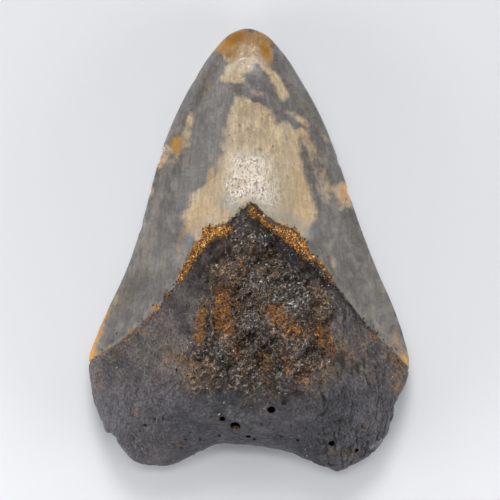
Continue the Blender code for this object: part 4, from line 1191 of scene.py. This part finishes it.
# %% Rusty sand
def ramp(tree, value, stops):
    """A colour ramp: (place, colour) stops."""
    node = tree.nodes.new("ShaderNodeValToRGB")
    elements = node.color_ramp.elements
    while len(elements) < len(stops):
        elements.new(0.5)
    for element, (place, colour) in zip(elements, stops):
        element.position, element.color = place, colour
    tree.put(node.inputs["Fac"], value)
    return node.outputs["Color"]


sand = Tree("rusty_sand")
sand_stops = [
    (0.0, srgb(34, 24, 16)), (0.25, srgb(86, 52, 24)), (0.55, srgb(172, 110, 40)), (0.8, srgb(222, 156, 58)),
    (1.0, srgb(252, 226, 158)),
]
sand.links.new(ramp(sand, sand.field("tint"), sand_stops), sand.shader.inputs["Base Color"])
sand.shader.inputs["Roughness"].default_value = 0.42
sand_density = face * (capsules(near, RUST_BAND, 2.0) ** 2 + 0.08 * capsules(near, FAINT_BAND, 1.2))
sand_density += 0.2 * face * capsules(near, RUST_PATCHES, 2.4) * (at[:, 1] > -33)
rusty_sand = grains(
    "rusty_sand", 3600, sand_density, (0.08, 0.32), (1.0, 0.85, 0.7), 2.0, 0.75, sand.material, 71, fading=0.5
)

# %% Grit of the worn core, and the clear crystals in it
grit = Tree("dark_grit")
grit_stops = [
    (0.0, srgb(18, 15, 14)), (0.5, srgb(44, 37, 33)), (0.8, srgb(92, 74, 54)), (1.0, srgb(140, 126, 110)),
]
grit.links.new(ramp(grit, grit.field("tint"), grit_stops), grit.shader.inputs["Base Color"])
grit.shader.inputs["Roughness"].default_value = 0.2
core_share = face * capsules(far, WORN_CORE, CORE_SOFT) ** 2 * (past > 0.8)
core_share += 4 * face * capsules(near, DARK_LINES, 1.6) ** 2
dark_grit = grains(
    "dark_grit", 4000, core_share, (0.1, 0.3), (1.5, 0.7, 0.6), 0.4, 0.6, grit.material, 72
)
crystal = Tree("pale_crystal")
crystal_stops = [(0.0, srgb(58, 54, 52)), (0.5, srgb(98, 94, 90)), (0.85, srgb(160, 156, 150)), (1.0, srgb(226, 224, 220))]
crystal.links.new(ramp(crystal, crystal.field("tint"), crystal_stops), crystal.shader.inputs["Base Color"])
crystal.shader.inputs["Roughness"].default_value = 0.12
crystal_share = face * (0.003 + 0.07 * core_share + capsules(near, GLINTS, 2.0) ** 2) * (past > 0.8)
pale_crystals = grains(
    "pale_crystals", 1700, crystal_share, (0.08, 0.3), (1.9, 0.6, 0.5), 0.3, 0.65, crystal.material, 73
)

# %% [markdown]
# ## Floor, light and camera
# The tooth lies on a plain pale floor. One wide soft light stands beyond the tip and above, where its mirror
# image falls on the middle of the crown, and a long narrow one lower down beyond the tip shines on the worn tip.
# Two softboxes light the left and the right, two small low lights by the root light the floor beside it, and a
# key light beyond the tip gives brightness and the shadow but no reflection. The camera looks straight down,
# with the tip up.

# %% Floor
FLOOR_HALF = 3.0
floor_points = np.array([(x, y, 0) for x, y in ((-1, -1), (1, -1), (1, 1), (-1, 1))]) * FLOOR_HALF
floor = new_object("floor", mesh_from_arrays("floor", floor_points, np.array([[0, 1, 2, 3]])))
paper = bpy.data.materials.new("pale_paper")
paper.use_nodes = True
paper_shader = paper.node_tree.nodes["Principled BSDF"]
paper_shader.inputs["Base Color"].default_value = srgb(226, 227, 231)
paper_shader.inputs["Roughness"].default_value = 0.9
floor.data.materials.append(paper)


# %% Lights
def soft_light(name, tilt, turn, distance, size, watts):
    """A rectangle of light aimed at the tooth: tilt is from straight up, turn is round from +Y towards +X."""
    light = bpy.data.lights.new(name, "AREA")
    light.shape, light.energy = "RECTANGLE", watts
    light.size, light.size_y = size
    made = new_object(name, light)
    tilt, turn = math.radians(tilt), math.radians(turn)
    made.location = distance * np.array(
        [math.sin(tilt) * math.sin(turn), math.sin(tilt) * math.cos(turn), math.cos(tilt)]
    )
    made.rotation_euler = (-tilt, 0, -turn)
    return made


soft_light("crown_softbox", 13, -4, 1.0, (0.88, 0.18), 2.8)
soft_light("tip_softbox", 50, 3, 2.0, (1.2, 0.2), 8.5)
soft_light("left_softbox", 56, -55, 1.1, (0.8, 0.8), 1.5)
soft_light("right_softbox", 60, 70, 1.1, (0.6, 0.6), 0.6)
soft_light("left_glow", 74, -116, 0.3, (0.25, 0.06), 0.62)
soft_light("right_glow", 74, 116, 0.3, (0.25, 0.06), 0.54)
key = soft_light("key", 48, -2, 2.0, (0.6, 0.6), 15.0)
key.visible_glossy = False  # it gives brightness and the shadow, and the softboxes give the reflections
world = bpy.data.worlds.new("studio")
bpy.context.scene.world = world
world.use_nodes = True
world.node_tree.nodes["Background"].inputs["Color"].default_value = srgb(238, 240, 246)
world.node_tree.nodes["Background"].inputs["Strength"].default_value = 0.05

# %% Camera
VIEW_WIDTH = 125 * MM  # what the picture spans at the height of the tooth's rim
CAMERA_HEIGHT = 0.9
camera_data = bpy.data.cameras.new("camera")
camera_data.angle = 2 * math.atan(VIEW_WIDTH / 2 / (CAMERA_HEIGHT - 4 * MM))
camera = new_object("camera", camera_data)
camera.location = (0.25 * MM, -0.25 * MM, CAMERA_HEIGHT)
bpy.context.scene.camera = camera
bpy.context.scene.view_settings.view_transform = "Standard"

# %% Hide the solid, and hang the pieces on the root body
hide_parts("tooth")
for piece in (tooth, rusty_sand, dark_grit, pale_crystals):
    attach(piece, "root")
